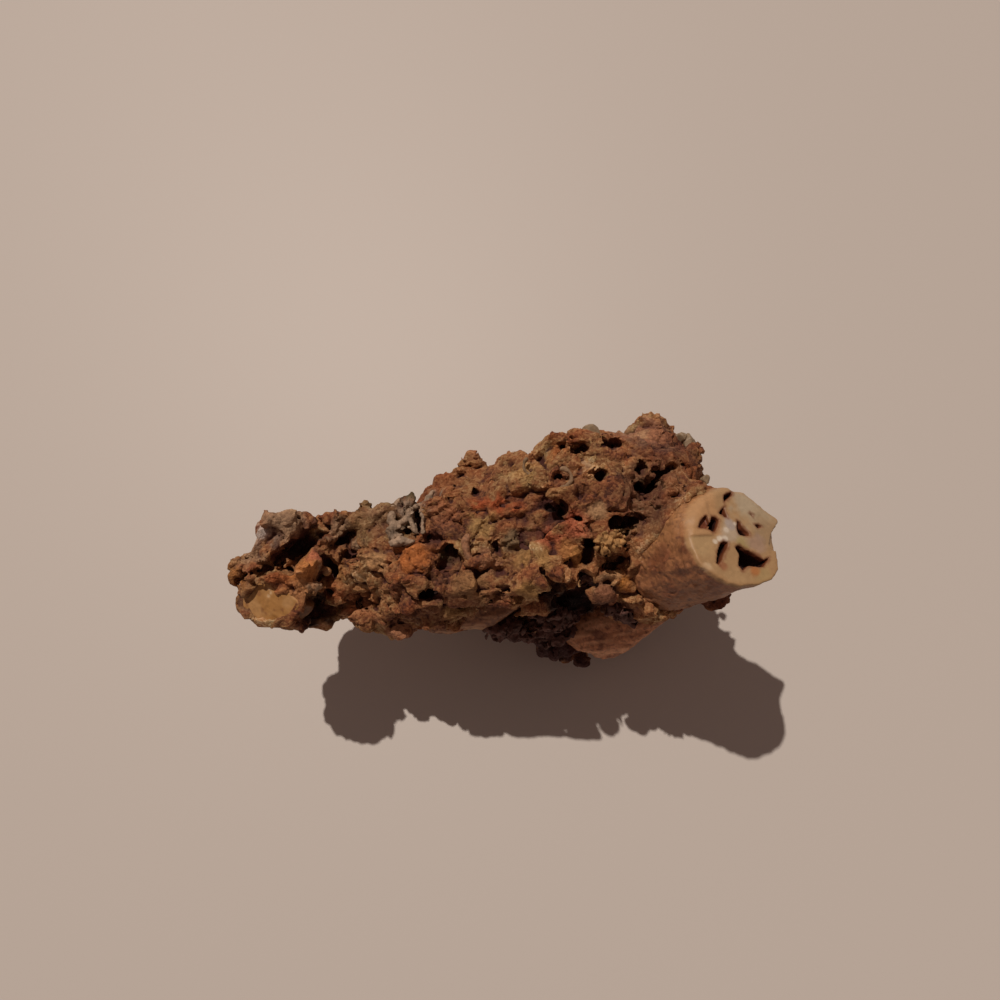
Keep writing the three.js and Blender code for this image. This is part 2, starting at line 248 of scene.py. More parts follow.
# Hollows in the crust: a path of [x, y, z, half width] places, and how deep it goes below them.
HOLLOWS = {
    "knob_cave": [
        [
            (-24.1, -1.7, 29.6, 1.1),
            (-26.6, -3.7, 29.6, 1.4),
            (-28.6, -5.1, 30.2, 1.5),
            (-30.3, -6.6, 30.7, 0.9),
        ],
        4.5,
    ],
    "knob_cave_west": [
        [(-30.3, -6.6, 30.5, 0.8), (-33.5, -7.1, 28.5, 0.6), (-35.2, -8.3, 28.2, 0.4)],
        2.2,
    ],
    "knob_low_hollow": [
        [(-24.7, -10.2, 26.0, 1.1), (-25.2, -11.1, 25.0, 1.5), (-25.7, -11.8, 24.0, 1.2)],
        2.6,
    ],
    "wedge_gap": [[(-23.2, -5.2, 27.6, 1.0), (-22.8, -6.9, 26.6, 1.3), (-22.4, -7.2, 26.6, 1.0)], 3.6],
    "wedge_gap_low": [[(-23.6, -8.7, 24.7, 0.8)], 2.0],
    "neck_hole": [[(-22.2, -2.2, 25.8, 0.9), (-21.0, -1.2, 25.8, 1.2)], 3.4],
    "neck_slot": [[(-20.8, -4.4, 26.8, 0.9), (-19.2, -4.7, 27.6, 0.9)], 3.0],
    "saddle_well": [[(-5.7, -4.4, 29.6, 1.0), (-5.4, -5.8, 29.2, 1.1), (-6.8, -6.9, 29.2, 0.8)], 2.2],
    "ledge_well": [[(-8.4, -10.1, 29.6, 0.8), (-7.2, -11.2, 30.2, 0.7)], 1.7],
    "ledge_pit": [[(-13.7, -11.2, 26.6, 0.8)], 2.0],
    "shelf_well": [[(16.7, -2.6, 34.0, 1.25), (17.9, -2.5, 33.6, 1.4), (18.9, -2.1, 33.2, 1.0)], 4.2],
    "rosette_shade": [[(12.9, -6.8, 31.6, 0.9), (13.0, -4.8, 32.4, 0.7)], 2.6],
    "front_pit": [[(7.2, -9.2, 33.6, 0.9), (8.0, -10.3, 33.0, 1.0), (9.3, -10.8, 31.4, 1.2)], 4.0],
    "top_pit": [[(15.8, 10.3, 31.0, 1.1), (17.0, 10.0, 30.4, 1.0)], 4.0],
    "recess": [
        [
            (8.6, -11.2, 26.6, 1.0),
            (10.7, -10.9, 26.2, 1.6),
            (13.0, -10.6, 26.4, 2.2),
            (14.6, -11.6, 25.4, 1.8),
        ],
        7.0,
    ],
    "recess_north": [[(12.5, -9.4, 31.4, 1.0), (13.0, -10.4, 30.3, 1.4)], 4.6],
    "recess_east": [[(16.3, -12.1, 24.4, 1.3), (18.4, -12.4, 24.4, 0.9)], 4.6],
    "rosette_well": [[(15.8, -7.4, 30.6, 1.2), (17.3, -7.0, 31.0, 1.0)], 3.0],
    "ridge_slot": [[(10.2, 9.6, 31.0, 0.75), (12.6, 9.2, 31.2, 0.9)], 2.8],
    "east_well": [[(19.2, 5.4, 32.4, 0.8), (20.3, 5.4, 32.4, 0.95)], 3.6],
    "east_hole": [[(20.4, 3.4, 31.8, 1.0), (20.6, 1.6, 33.2, 1.25), (22.0, 3.6, 31.8, 0.9)], 4.2],
    "east_channel": [[(22.3, 5.1, 31.6, 0.9), (24.0, 5.5, 31.6, 0.75), (26.2, 6.6, 30.6, 0.6)], 2.6],
    "ring_pit": [[(9.5, 3.8, 34.4, 0.8)], 2.8],
    "stub_pit": [[(14.8, 4.0, 34.4, 0.95)], 3.0],
    "crown_pit": [[(8.5, -0.3, 33.4, 1.1), (9.3, -0.7, 33.4, 1.15)], 3.4],
    "crack_pit": [[(0.7, -4.2, 31.4, 0.6), (0.7, -5.4, 31.0, 0.6)], 2.4],
    "net_pit": [[(-10.7, 1.5, 28.7, 0.7), (-10.4, 0.2, 28.9, 0.9), (-10.4, -1.8, 29.6, 0.7)], 2.6],
    "net_slot": [[(-12.8, -0.7, 28.0, 0.6), (-12.0, -1.4, 28.4, 0.7)], 2.2],
    "purple_dip": [[(-8.8, -3.0, 30.2, 0.8), (-7.4, -3.4, 30.4, 0.8)], 1.8],
    "green_pit": [[(-9.0, -10.9, 29.6, 0.9), (-7.6, -10.5, 30.2, 0.9)], 2.8],
    "low_pit": [[(0.0, -11.6, 30.0, 0.8), (2.2, -11.2, 30.6, 0.8)], 1.8],
    "north_west_pit": [[(-2.5, 4.3, 28.6, 0.75)], 2.2],
    "west_pit": [[(-5.5, 1.8, 30.9, 0.7)], 2.0],
    "lace_pit": [[(6.4, -13.1, 14.4, 1.2), (8.4, -13.3, 14.0, 1.4)], 3.4],
    "side_shade": [[(2.2, -13.4, 18.8, 1.4), (4.6, -12.4, 19.4, 1.6), (7.6, -12.4, 18.0, 1.6)], 3.6],
    "side_bare": [[(-0.4, -12.4, 22.2, 0.8), (2.0, -11.6, 22.6, 0.9), (4.2, -10.8, 23.0, 0.7)], 2.6],
    "low_crevice": [[(3.7, -11.8, 30.5, 0.8), (2.2, -11.9, 30.8, 0.8), (0.5, -11.6, 31.6, 0.7)], 2.0],
    "chunk_gap": [[(7.0, -10.6, 29.0, 1.0)], 3.2],
}

HOLLOW_AXIS = (0.06, -0.34, 0.94)  # the way that the hollows open
HOLLOW_TAPER = 0.35  # how much narrower a hollow is at its bottom, as a share
STEPS_PER_SPAN = 4  # how many steps a hollow's path has from one of its places to the next
ROUGHNESS_ROOM = 0.5  # how far a hollow's rough wall reaches beyond its path
GRAIN = (0.9, 0.33, 0.28)  # the way that the crust's slabs run

# Crumbs in the crust, from coarse to fine: their size, how far each stands in or out, how steeply
# their faces tilt, and the depth and width of the crevices between them.
CRUMBS = (
    {"size": 4.8, "stand": 0.40, "tilt": 0.30, "crevice": 0.42, "width": 0.55, "seed": 11},
    {"size": 2.4, "stand": 0.15, "tilt": 0.26, "crevice": 0.30, "width": 0.30, "seed": 12},
    {"size": 1.20, "stand": 0.05, "tilt": 0.22, "crevice": 0.10, "width": 0.16, "seed": 13},
)

# Pits between the crumbs: the spacing of the places where one may be, the share of them that hold
# one, and the smallest and largest radius.
PITS = (
    {"spacing": 3.9, "share": 0.20, "least": 0.40, "most": 0.95, "seed": 21},
    {"spacing": 1.9, "share": 0.10, "least": 0.20, "most": 0.42, "seed": 22},
)

# Places where the crust has a colour of its own, and places of painted shade in hollows as marked: [x, y,
# z, radius, colour, strength].
TINTS_AND_PAINTED_SHADE = [
    [21.0, 1.0, 31.5, 6.5, PURPLE_BROWN, 0.62],
    [24.5, 9.0, 28.0, 5.0, PURPLE_BROWN, 0.56],
    [-4.0, -12.4, 26.5, 7.0, PURPLE_BROWN, 0.34],
    [-16.0, 2.0, 27.0, 6.0, DARK_OLIVE, 0.5],
    [-6.5, 6.0, 27.0, 5.0, RUST, 0.3],
    [-31.5, -1.8, 30.4, 1.5, COOL_WHITE, 0.9],
    [-28.5, -1.0, 31.7, 3.6, GREY_BUFF, 0.75],
    [-33.4, -4.2, 29.0, 2.6, GREY_BUFF, 0.6],
    [-35.5, -7.6, 28.7, 2.4, OCHRE, 0.5],
    [-34.0, -10.8, 27.5, 2.4, PURPLE_BROWN, 0.55],
    [-24.2, -0.6, 28.8, 2.2, PURPLE_BROWN, 0.8],
    [-24.4, -7.3, 26.7, 1.2, PURPLE_BROWN, 0.85],
    [-26.2, -6.6, 29.4, 2.7, (0.52, 0.215, 0.065), 1.0],
    [-24.2, -4.7, 29.2, 1.4, (0.42, 0.14, 0.075), 0.9],
    [-26.0, -9.4, 29.0, 1.7, (0.36, 0.17, 0.07), 0.9],
    [-29.2, -7.8, 29.9, 1.8, RUST, 0.8],
    # Painted shade: near-black in the gap under the knob and in the knob's cave.
    [-25.3, -11.2, 23.0, 3.0, DEEP_PAINTED_SHADE, 0.95],
    [-27.0, -4.0, 25.6, 3.0, DEEP_PAINTED_SHADE, 0.9],
    [-22.6, -8.6, 24.2, 2.0, RED_RUST, 0.55],
    [-22.6, -5.5, 25.4, 1.6, OCHRE, 0.7],
    [-23.5, -6.4, 28.3, 0.8, GREY_BUFF, 0.9],
    [-22.9, -6.8, 26.6, 0.8, GREY_BUFF, 0.9],
    [-23.7, -9.0, 28.5, 1.1, GREY_BUFF, 0.9],
    [-21.5, -0.2, 26.4, 2.6, GREY_BUFF, 0.65],
    [-19.9, -9.2, 21.1, 3.4, PINK_BROWN, 0.6],
    [-16.0, -5.6, 29.1, 1.9, (0.42, 0.24, 0.11), 1.0],
    [-10.6, -5.6, 30.6, 3.0, ORANGE, 0.75],
    [-12.8, -4.2, 29.9, 1.8, ORANGE, 0.5],
    [-11.2, 1.0, 28.8, 2.6, GREY_WHITE, 0.75],
    [-11.0, 4.0, 28.2, 2.0, DARK_OLIVE, 0.95],
    [-16.4, 1.4, 27.6, 2.6, GREY_BUFF, 0.55],
    [-15.7, -1.2, 28.1, 1.8, PURPLE_BROWN, 0.5],
    [-8.2, -3.3, 30.2, 1.7, PURPLE_BROWN, 0.85],
    [-22.1, -6.7, 25.9, 1.7, (0.42, 0.21, 0.075), 0.8],
    [-19.2, -2.6, 26.6, 1.3, GREY_BUFF, 0.8],
    [-18.9, -0.6, 27.0, 2.0, OLIVE, 0.6],
    [-3.7, 11.2, 24.0, 1.8, PINK_BROWN, 0.8],
    [-8.9, 3.4, 28.4, 1.6, GREY_WHITE, 0.8],
    [-8.4, 5.4, 27.4, 1.3, GREY_WHITE, 0.6],
    [-6.5, 0.5, 30.8, 2.2, PINK_BROWN, 0.6],
    [-1.4, 1.6, 30.2, 1.5, RED_RUST, 0.9],
    [1.2, 1.0, 31.4, 1.6, RED_RUST, 0.85],
    [3.4, 0.7, 32.0, 1.4, RED_RUST, 0.7],
    [3.1, -3.9, 31.3, 2.1, (0.17, 0.12, 0.065), 0.9],
    [-1.4, -1.6, 31.3, 2.4, (0.40, 0.25, 0.095), 0.8],
    [4.5, -6.1, 31.0, 2.0, (0.36, 0.20, 0.07), 0.85],
    [7.2, -7.1, 32.8, 1.6, (0.38, 0.22, 0.08), 0.85],
    [-2.7, -9.9, 31.2, 2.6, (0.35, 0.20, 0.08), 0.7],
    [-0.6, -6.4, 30.6, 1.9, (0.38, 0.19, 0.10), 0.9],
    [7.0, -3.2, 32.4, 2.0, RED_PINK, 0.8],
    [8.6, -4.7, 32.3, 1.9, RED_PINK, 0.8],
    [11.2, -2.5, 33.2, 2.2, RED_PINK, 0.8],
    [10.4, -5.9, 31.8, 1.8, OCHRE, 0.8],
    [6.5, -6.0, 31.4, 1.7, (0.36, 0.21, 0.07), 0.9],
    [4.8, -11.3, 32.3, 1.9, (0.37, 0.21, 0.075), 1.0],
    [17.2, -9.2, 28.9, 1.6, (0.42, 0.17, 0.035), 1.0],
    [14.8, -10.9, 28.8, 2.3, (0.20, 0.085, 0.045), 0.95],
    # Painted shade: near-black deep in the recess.
    [11.5, -10.4, 20.0, 5.2, (0.016, 0.007, 0.007), 1.0],
    [8.5, -11.0, 27.0, 2.4, (0.016, 0.007, 0.007), 0.9],
    [21.5, 12.4, 27.5, 4.8, (0.38, 0.24, 0.17), 0.6],
    [15.9, -8.5, 30.2, 1.3, (0.40, 0.24, 0.12), 0.9],
    [22.6, 12.2, 27.0, 3.6, PINK_BROWN, 0.7],
    [21.0, 12.4, 27.0, 1.5, PALE_BUFF, 0.6],
    [27.5, 6.7, 28.8, 2.6, RUST, 0.8],
    [24.9, 1.8, 33.6, 2.4, RUST, 0.6],
    [23.0, 5.6, 31.0, 4.0, PURPLE_BROWN, 0.4],
    [16.0, 12.0, 28.0, 4.0, PURPLE_BROWN, 0.25],
    [14.0, -1.2, 34.4, 1.6, (0.42, 0.25, 0.125), 0.95],
    [5.1, 5.8, 31.4, 2.6, YELLOW_BUFF, 0.45],
    [9.0, 8.0, 31.0, 2.4, ORANGE, 0.45],
    [-14.2, -13.6, 20.4, 1.9, (0.38, 0.18, 0.095), 0.95],
    [-5.2, -11.9, 26.6, 2.2, YELLOW_BUFF, 0.6],
    [-5.9, -4.9, 28.4, 1.9, DARK_OLIVE, 0.85],
    [9.1, -14.3, 14.0, 6.0, PURPLE_BROWN, 0.85],
    [19.8, -12.0, 25.4, 1.7, PINK_BROWN, 0.8],
    [30.2, -10.0, 23.7, 3.4, (0.14, 0.045, 0.022), 0.9],
    # Painted shade: near-black in the recess.
    [10.2, -11.4, 26.0, 3.6, DEEP_PAINTED_SHADE, 0.95],
    [13.4, -11.2, 25.8, 3.4, DEEP_PAINTED_SHADE, 0.85],
    [8.2, -16.0, 12.4, 5.6, (0.055, 0.02, 0.018), 1.0],
    [12.5, -17.6, 8.5, 4.0, (0.055, 0.02, 0.018), 1.0],
    [17.0, -12.4, 24.4, 2.6, PURPLE_BROWN, 0.85],
]

# ---------------------------------------------------------------- the branches' forms

BRANCHES = ("upper_branch", "lower_branch", "side_branch", "tip_branch")
UPPER_GROWS = floats((0.62, 0.02, 0.785))
UPPER_FOOT = -12.8  # where the upper branch starts, along its growth from the face


class Plane:
    """A broken face's own axes: across and up in it, and out of it."""

    def __init__(self, origin, across, up, out):
        self.origin = origin
        self.axes = floats((across, up, out))

    def coordinates(self, points):
        """How far across, up and out each point is."""
        return ((points - floats(self.origin)) @ self.axes.T).T

    def slide(self, grows):
        """How far a line that follows the growth slides across and up for each step out."""
        across, up, out = self.axes @ grows
        return across / out, up / out


FACE = Plane(
    origin=(30.86, -4.82, 35.3),
    across=(0.9456, 0, -0.3254),
    up=(-0.0522, 0.987, -0.1518),
    out=(0.3211, 0.1606, 0.9333),
)
TIP = Plane(
    origin=(-31.1, -10.5, 28.0),
    across=(0.977, 0, 0.215),
    up=(-0.077, 0.93, 0.352),
    out=(-0.2, -0.36, 0.91),
)


def upper_coordinates(points):
    """Across and up in the upper branch's face, out of it, and along the branch's growth from it."""
    along = (points - floats(FACE.origin)) @ UPPER_GROWS
    return (*FACE.coordinates(points), along)


# What the crust leaves bare of the tip branch's face, in (across, up).
TIP_OUTLINE = [
    (-2.8, 0.0), (-2.1, 0.8), (-0.8, 1.7), (0.5, 2.0), (1.1, 1.5), (1.6, 0.7), (1.4, 0.3), (2.5, 0.4),
    (4.1, 0.1), (4.8, -0.4), (4.2, -1.4), (3.5, -2.1), (2.3, -2.6), (0.8, -3.0), (-0.6, -3.1),
    (-1.8, -2.3), (-2.2, -0.9),
]  # fmt: skip

# The upper branch's broken face, in (across, up).
FACE_OUTLINE = [
    (-1.3, 7.1), (0.0, 7.3), (1.2, 7.2), (1.5, 6.5), (2.9, 6.2), (4.8, 4.6), (5.6, 3.9), (7.1, 2.7),
    (7.0, 1.7), (6.4, 0.7), (5.9, -1.0), (5.6, -3.1), (5.4, -4.4), (4.2, -5.9), (2.2, -6.6),
    (-0.3, -7.0), (-2.0, -6.8), (-3.9, -5.7), (-5.5, -4.4), (-6.1, -2.8), (-6.4, -1.4), (-6.6, 0.2),
    (-6.5, 1.9), (-5.8, 3.4), (-4.5, 5.2), (-2.6, 6.6),
]  # fmt: skip
CHIP = [(7.4, 2.6), (5.7, 0.7), (4.9, -1.1), (5.1, -1.8), (6.2, -1.7), (7.2, 0.9)]
FACE_CAVITIES = {
    "west": (
        [
            (-2.7, 2.2), (-2.0, 2.2), (-1.6, 1.9), (-2.1, 0.9), (-2.6, 0.1), (-3.2, 0.0), (-3.6, 0.3),
            (-3.2, 1.1),
        ],
        3.0,
    ),
    "west_lobe": ([(-4.9, 0.5), (-4.7, 1.1), (-3.8, 2.1), (-3.4, 2.3), (-3.2, 1.1), (-3.8, 0.4)], 0.5),
    "north": (
        [
            (-0.3, 5.5), (0.1, 5.8), (1.2, 6.3), (1.6, 7.4), (1.0, 5.7), (-0.1, 4.8), (-0.5, 4.4),
        ],
        1.6,
    ),
    "north_low": ([(-0.5, 3.9), (-0.5, 2.9), (-0.3, 2.3), (-0.8, 2.4), (-1.5, 2.9), (-0.9, 3.5)], 2.0),
    "east": (
        [
            (0.9, 2.0), (1.3, 1.9), (1.5, 1.2), (2.2, 0.4), (2.2, 0.0), (1.5, -0.1), (0.8, 0.1),
            (0.6, 0.9),
        ],
        2.6,
    ),
    "south_west": (
        [
            (-2.2, -1.5), (-1.6, -1.1), (-1.0, -1.2), (-1.3, -2.0), (-2.0, -2.9), (-2.4, -3.7),
            (-3.0, -4.4), (-3.3, -4.2), (-2.8, -2.8),
        ],
        2.6,
    ),
    "south": (
        [
            (-0.2, -1.8), (0.4, -1.5), (1.1, -1.8), (2.7, -2.5), (3.6, -3.2), (4.5, -2.8), (3.3, -4.2),
            (1.0, -4.3), (0.3, -4.9), (-0.2, -4.2), (0.2, -2.8),
        ],
        3.2,
    ),
    "east_pit": ([(3.4, 1.7), (3.9, 1.8), (4.4, 1.4), (3.7, 1.2)], 0.8),
    "sugar_pit": ([(3.0, 3.2), (3.4, 3.1), (3.3, 2.8)], 0.5),
}  # fmt: skip

# Colours on the face, with one painted highlight: [across, up, radius, colour, strength].
FACE_CREAM = (0.40, 0.255, 0.125)
FACE_TAN = (0.47, 0.275, 0.13)
WALL_TAN = (0.31, 0.14, 0.06)
WALL_BROWN = (0.21, 0.08, 0.036)
WALL_ORANGE = (0.36, 0.165, 0.07)
WALL_DARK = (0.09, 0.032, 0.02)
# The gold below is also painted light on the wall's north-west side, and the mauve is painted shade on its
# south side.
WALL_GOLD_AND_PAINTED_LIGHT = (0.42, 0.22, 0.09)
PAINTED_SHADE_MAUVE = (0.25, 0.105, 0.055)
CAVITY_RUST = (0.16, 0.045, 0.018)
# Painted shade deep in the face's cavities.
CAVITY_PAINTED_SHADE = (0.03, 0.01, 0.008)
FACE_TINTS = [
    (4.0, 4.0, 3.4, (0.42, 0.34, 0.22), 0.9),
    (2.6, 5.2, 2.2, (0.44, 0.37, 0.26), 0.7),
    (4.8, 0.6, 2.4, (0.33, 0.23, 0.13), 0.8),
    (-0.4, 0.2, 1.9, (0.46, 0.38, 0.28), 0.8),
    (-1.0, 0.5, 0.5, (0.66, 0.59, 0.48), 0.8),
    (-0.2, 1.2, 0.9, (0.40, 0.35, 0.32), 0.8),
    # Painted highlight: a white glint.
    (0.5, 1.5, 0.35, (0.72, 0.66, 0.56), 0.8),
    (-2.9, -1.3, 0.4, (0.74, 0.68, 0.56), 0.85),
    (-2.2, -0.9, 0.4, (0.74, 0.68, 0.56), 0.85),
    (-1.4, -0.8, 0.4, (0.72, 0.66, 0.55), 0.8),
    (0.9, -1.2, 1.2, (0.38, 0.30, 0.13), 0.8),
    (2.9, -1.1, 1.4, (0.36, 0.25, 0.19), 0.7),
    (3.0, -5.4, 1.6, (0.40, 0.29, 0.13), 0.7),
    (1.9, -4.9, 0.9, (0.42, 0.15, 0.04), 0.75),
    (-5.0, -1.7, 2.2, (0.45, 0.31, 0.155), 0.8),
    (-2.4, -4.6, 0.8, (0.32, 0.13, 0.06), 0.8),
    (-1.0, -5.9, 2.0, (0.42, 0.28, 0.14), 0.7),
    (-4.2, 4.0, 2.4, (0.50, 0.28, 0.12), 0.6),
    (-4.7, -4.7, 0.7, (0.60, 0.45, 0.28), 0.8),
]

# The other branches: the way each grows, the place of each break and the way it faces, its bulges as
# the lumps above, its colours and its slot, how rough it is, and the seed of what is random in it.
LOW_BRANCHES = {
    "lower_branch": {
        "grows": (0.94, 0.16, 0.31),
        "breaks": [((12.7, -16.1, 13.5), (-0.46, -0.85, -0.28))],
        "colour": (0.49, 0.215, 0.105),
        "streaks": (0.60, 0.305, 0.165),
        "stain": (0.14, 0.05, 0.028),
        "slot": "tan_coral",
        "rough": 1.0,
        "seed": 110,
    },
    "side_branch": {
        "grows": (0.98, 0.1, 0.14),
        "breaks": [
            ((-1.2, -13.5, 17.0), (0.43, -0.84, -0.33)),
            ((-8.6, -13.2, 17.0), (0.0, -0.94, -0.34)),
        ],
        "colour": (0.31, 0.15, 0.08),
        "streaks": (0.42, 0.24, 0.13),
        "stain": (0.10, 0.04, 0.025),
        "slot": "tan_coral",
        "rough": 1.0,
        "seed": 150,
    },
    "tip_branch": {
        "grows": (-0.3, -0.35, 0.89),
        "colour": (0.40, 0.205, 0.062),
        "streaks": (0.46, 0.26, 0.10),
        "stain": (0.16, 0.055, 0.025),
        "bulges": [(-28.3, -11.3, 26.4, 3.0, 2.4, 3.0), (-32.6, -10.4, 26.6, 2.4, 2.4, 2.8)],
        "slot": "ochre_coral",
        "rough": 0.35,
        "seed": 190,
    },
}
# Painted highlights: pale glints painted on the tip branch's face.
TIP_GLINTS = [(-30.5, -9.3, 28.5), (-30.3, -9.8, 28.4), (-30.6, -10.2, 28.2)]
TIP_GLINT_COLOUR = (0.62, 0.46, 0.28)

# ---------------------------------------------------------------- random fields


def smooth_step(low, high, value):
    """0 below low, 1 above high, and a smooth rise between them."""
    share = np.clip((value - low) / (high - low), 0, 1)
    return share * share * (3 - 2 * share)


FAR = 9.0  # millimetres, farther than any distance that counts
FAR_SQUARED = 99.0  # likewise, for squares of distances
FULL_TURN = 6.28  # radians
LATTICE = 64  # cells along each edge of a grid of random numbers, which then repeats
CHUNK = 60000  # points worked on at a time


@lru_cache(maxsize=None)
def lattice(seed, count):
    """A cubic grid of random numbers from 0 to 1, count of them for each cell."""
    return np.random.default_rng(seed).random((LATTICE**3, count), np.float32)


def cells_of(points, spacing):
    """The cell that each point is in, and its place in that cell from 0 to 1."""
    place = points / spacing
    cell = np.floor(place).astype(np.int32)
    return cell, (place - cell).astype(np.float32)


def cell_numbers(cell, x, y, z):
    """Where the random numbers are of the cells that lie x, y and z cells away."""
    east, north, up = (((cell[:, axis] + step) & (LATTICE - 1)) for axis, step in enumerate((x, y, z)))
    return (east * LATTICE + north) * LATTICE + up


def noise(points, wave, seed):
    """Smooth noise, from about -1 to 1, whose bumps are about one wave across."""
    cell, inside = cells_of(points, wave)
    slopes = lattice(seed, 3)
    fade = inside**3 * (inside * (inside * 6 - 15) + 10)
    fades = (1 - fade, fade)
    total = np.zeros(len(points), np.float32)
    for corner in product((0, 1), repeat=3):
        slope = slopes[cell_numbers(cell, *corner)] * 2 - 1
        away = inside - floats(corner)
        weight = fades[corner[0]][:, 0] * fades[corner[1]][:, 1] * fades[corner[2]][:, 2]
        total += weight * dots(away, slope)
    return 1.6 * total


def rough_noise(points, wave, seed, octaves=3):
    """Noise with finer and weaker bumps added on the coarse ones."""
    total = np.zeros(len(points), np.float32)
    for octave in range(octaves):
        total += 0.5**octave * noise(points, wave=wave / 2**octave, seed=seed + octave)
    return total


def nearest_crumbs(points, size, seed):
    """For each point the random numbers of the crumb that it is in, the offset from that crumb's
    middle, and how far it is from the border with the next crumb."""
    cell, inside = cells_of(points, size)
    middles = lattice(seed, 3)
    count = len(points)
    first = np.full(count, FAR_SQUARED, np.float32)
    second = np.full(count, FAR_SQUARED, np.float32)
    owner = np.zeros(count, np.int32)
    offset = np.zeros((count, 3), np.float32)
    for step in product((-1, 0, 1), repeat=3):
        near = cell_numbers(cell, *step)
        away = inside - middles[near] - floats(step)
        distance = dots(away, away)
        nearer = distance < first
        second = np.where(nearer, first, np.minimum(second, distance))
        first = np.where(nearer, distance, first)
        owner[nearer] = near[nearer]
        offset[nearer] = away[nearer]
    return lattice(seed + 500, 4)[owner], offset * size, (np.sqrt(second) - np.sqrt(first)) * size


def pit_distance(points, spacing, share, least, most, seed):
    """How far each point is from the wall of the nearest pit, negative inside it."""
    cell, inside = cells_of(points, spacing)
    random = lattice(seed, 5)
    found = np.full(len(points), FAR, np.float32)
    for step in product((-1, 0, 1), repeat=3):
        chosen = random[cell_numbers(cell, *step)]
        away = (inside - chosen[:, :3] - floats(step)) * spacing
        radius = least + (most - least) * chosen[:, 3] ** 2
        distance = np.sqrt(dots(away, away)) - radius
        found = np.where(chosen[:, 4] < share, np.minimum(found, distance), found)
    return found


def in_chunks(function, points):
    """function's numbers for every point, worked out on chunks of the points at a time."""
    parts = [points[first : first + CHUNK] for first in range(0, len(points), CHUNK)]
    with ThreadPoolExecutor() as pool:
        return np.concatenate(list(pool.map(function, parts)))


def chunked_noise(points, wave, seed):
    """rough_noise, worked out in chunks."""
    return in_chunks(lambda part: rough_noise(part, wave, seed), points)


def shifts(points, wave, seed):
    """Three noises, by which each point is shifted east, north and up."""
    return np.stack([noise(points, wave=wave, seed=seed + axis) for axis in range(3)], 1)


# ---------------------------------------------------------------- distance fields


def vertex_places(mesh):
    """A mesh's vertices, in millimetres."""
    places = np.empty(len(mesh.vertices) * 3, np.float32)
    mesh.vertices.foreach_get("co", places)
    return places.reshape(-1, 3) / MM


def mesh_triangles(mesh):
    """The numbers of the vertices of each of a mesh's triangles."""
    mesh.calc_loop_triangles()
    triangles = np.empty(len(mesh.loop_triangles) * 3, np.int32)
    mesh.loop_triangles.foreach_get("vertices", triangles)
    return triangles.reshape(-1, 3)


class Field:
    """Distances to a surface on a regular grid of points, in millimetres, negative inside."""

    def __init__(self, low, high, pitch):
        self.pitch = pitch
        self.start = np.floor(np.array(low) / pitch).astype(int)
        self.shape = np.ceil(np.array(high) / pitch).astype(int) - self.start + 1
        self.values = None

    def distances(self, source, reach):
        """Distances to a closed mesh, no further than reach."""
        grid = vdb.FloatGrid.createLevelSetFromPolygons(
            vertex_places(source.data),
            triangles=mesh_triangles(source.data),
            transform=vdb.createLinearTransform(self.pitch),
            halfWidth=reach / self.pitch,
        )
        values = np.empty(self.shape, np.float32)
        grid.copyToArray(values, ijk=tuple(int(i) for i in self.start))
        return values

    def box(self, low, high):
        """The part of the grid between two corners, and the places in it."""
        first = np.clip(np.floor(np.array(low) / self.pitch).astype(int) - self.start, 0, self.shape)
        last = np.clip(np.ceil(np.array(high) / self.pitch).astype(int) - self.start, 0, self.shape)
        part = tuple(slice(a, b) for a, b in zip(first, last))
        axes = [(np.arange(a, b) + s) * self.pitch for a, b, s in zip(first, last, self.start)]
        places = np.stack(np.meshgrid(*axes, indexing="ij"), -1)
        return part, places.reshape(-1, 3).astype(np.float32)

    def whole(self):
        """All of the grid, and the places in it."""
        return self.box(self.start * self.pitch, (self.start + self.shape) * self.pitch)

    def join(self, part, found):
        """Adds a shape, given by its distances in a part of the grid."""
        values = self.values[part]
        self.values[part] = np.minimum(values, found.reshape(values.shape))

    def cut(self, part, found):
        """Takes a shape away, given by its distances in a part of the grid."""
        values = self.values[part]
        self.values[part] = np.maximum(values, -found.reshape(values.shape))

    def roughen(self, reach, follow, relief, pit):
        """Raises the surface by its relief and sinks pits in it, at the grid points within reach of it.
        Each point has the relief of its foot, which is a share of the way to the surface."""
        index = np.nonzero(np.abs(self.values) < reach)
        places = ((np.stack(index, 1) + self.start) * self.pitch).astype(np.float32)
        slope = np.stack([part[index] for part in np.gradient(self.values)], 1)
        slope /= lengths(slope)[:, None] + 1e-6
        feet = places - follow * slope * self.values[index][:, None]
        values = self.values[index] - in_chunks(relief, feet)
        self.values[index] = np.maximum(values, -in_chunks(pit, places))

    def sample(self, values, points):
        """A grid's values at any points, from the eight grid points around each."""
        place = points / self.pitch - self.start
        cell = np.clip(np.floor(place).astype(int), 0, self.shape - 2)
        inside = np.clip(place - cell, 0, 1)
        total = np.zeros(len(points))
        for corner in product((0, 1), repeat=3):
            step = np.array(corner)
            near = cell + step
            weight = np.prod(np.where(step, inside, 1 - inside), axis=1)
            total += weight * values[near[:, 0], near[:, 1], near[:, 2]]
        return total

    def surface(self):
        """The vertices and triangles of the surface's largest body."""
        grid = vdb.FloatGrid(FAR)
        grid.copyFromArray(self.values, ijk=tuple(int(i) for i in self.start))
        grid.transform = vdb.createLinearTransform(self.pitch)
        places, triangles, quads = grid.convertToPolygons()
        faces = np.concatenate([triangles, quads[:, [0, 1, 2]], quads[:, [0, 2, 3]]]).astype(np.int64)
        return largest_body(places, faces)


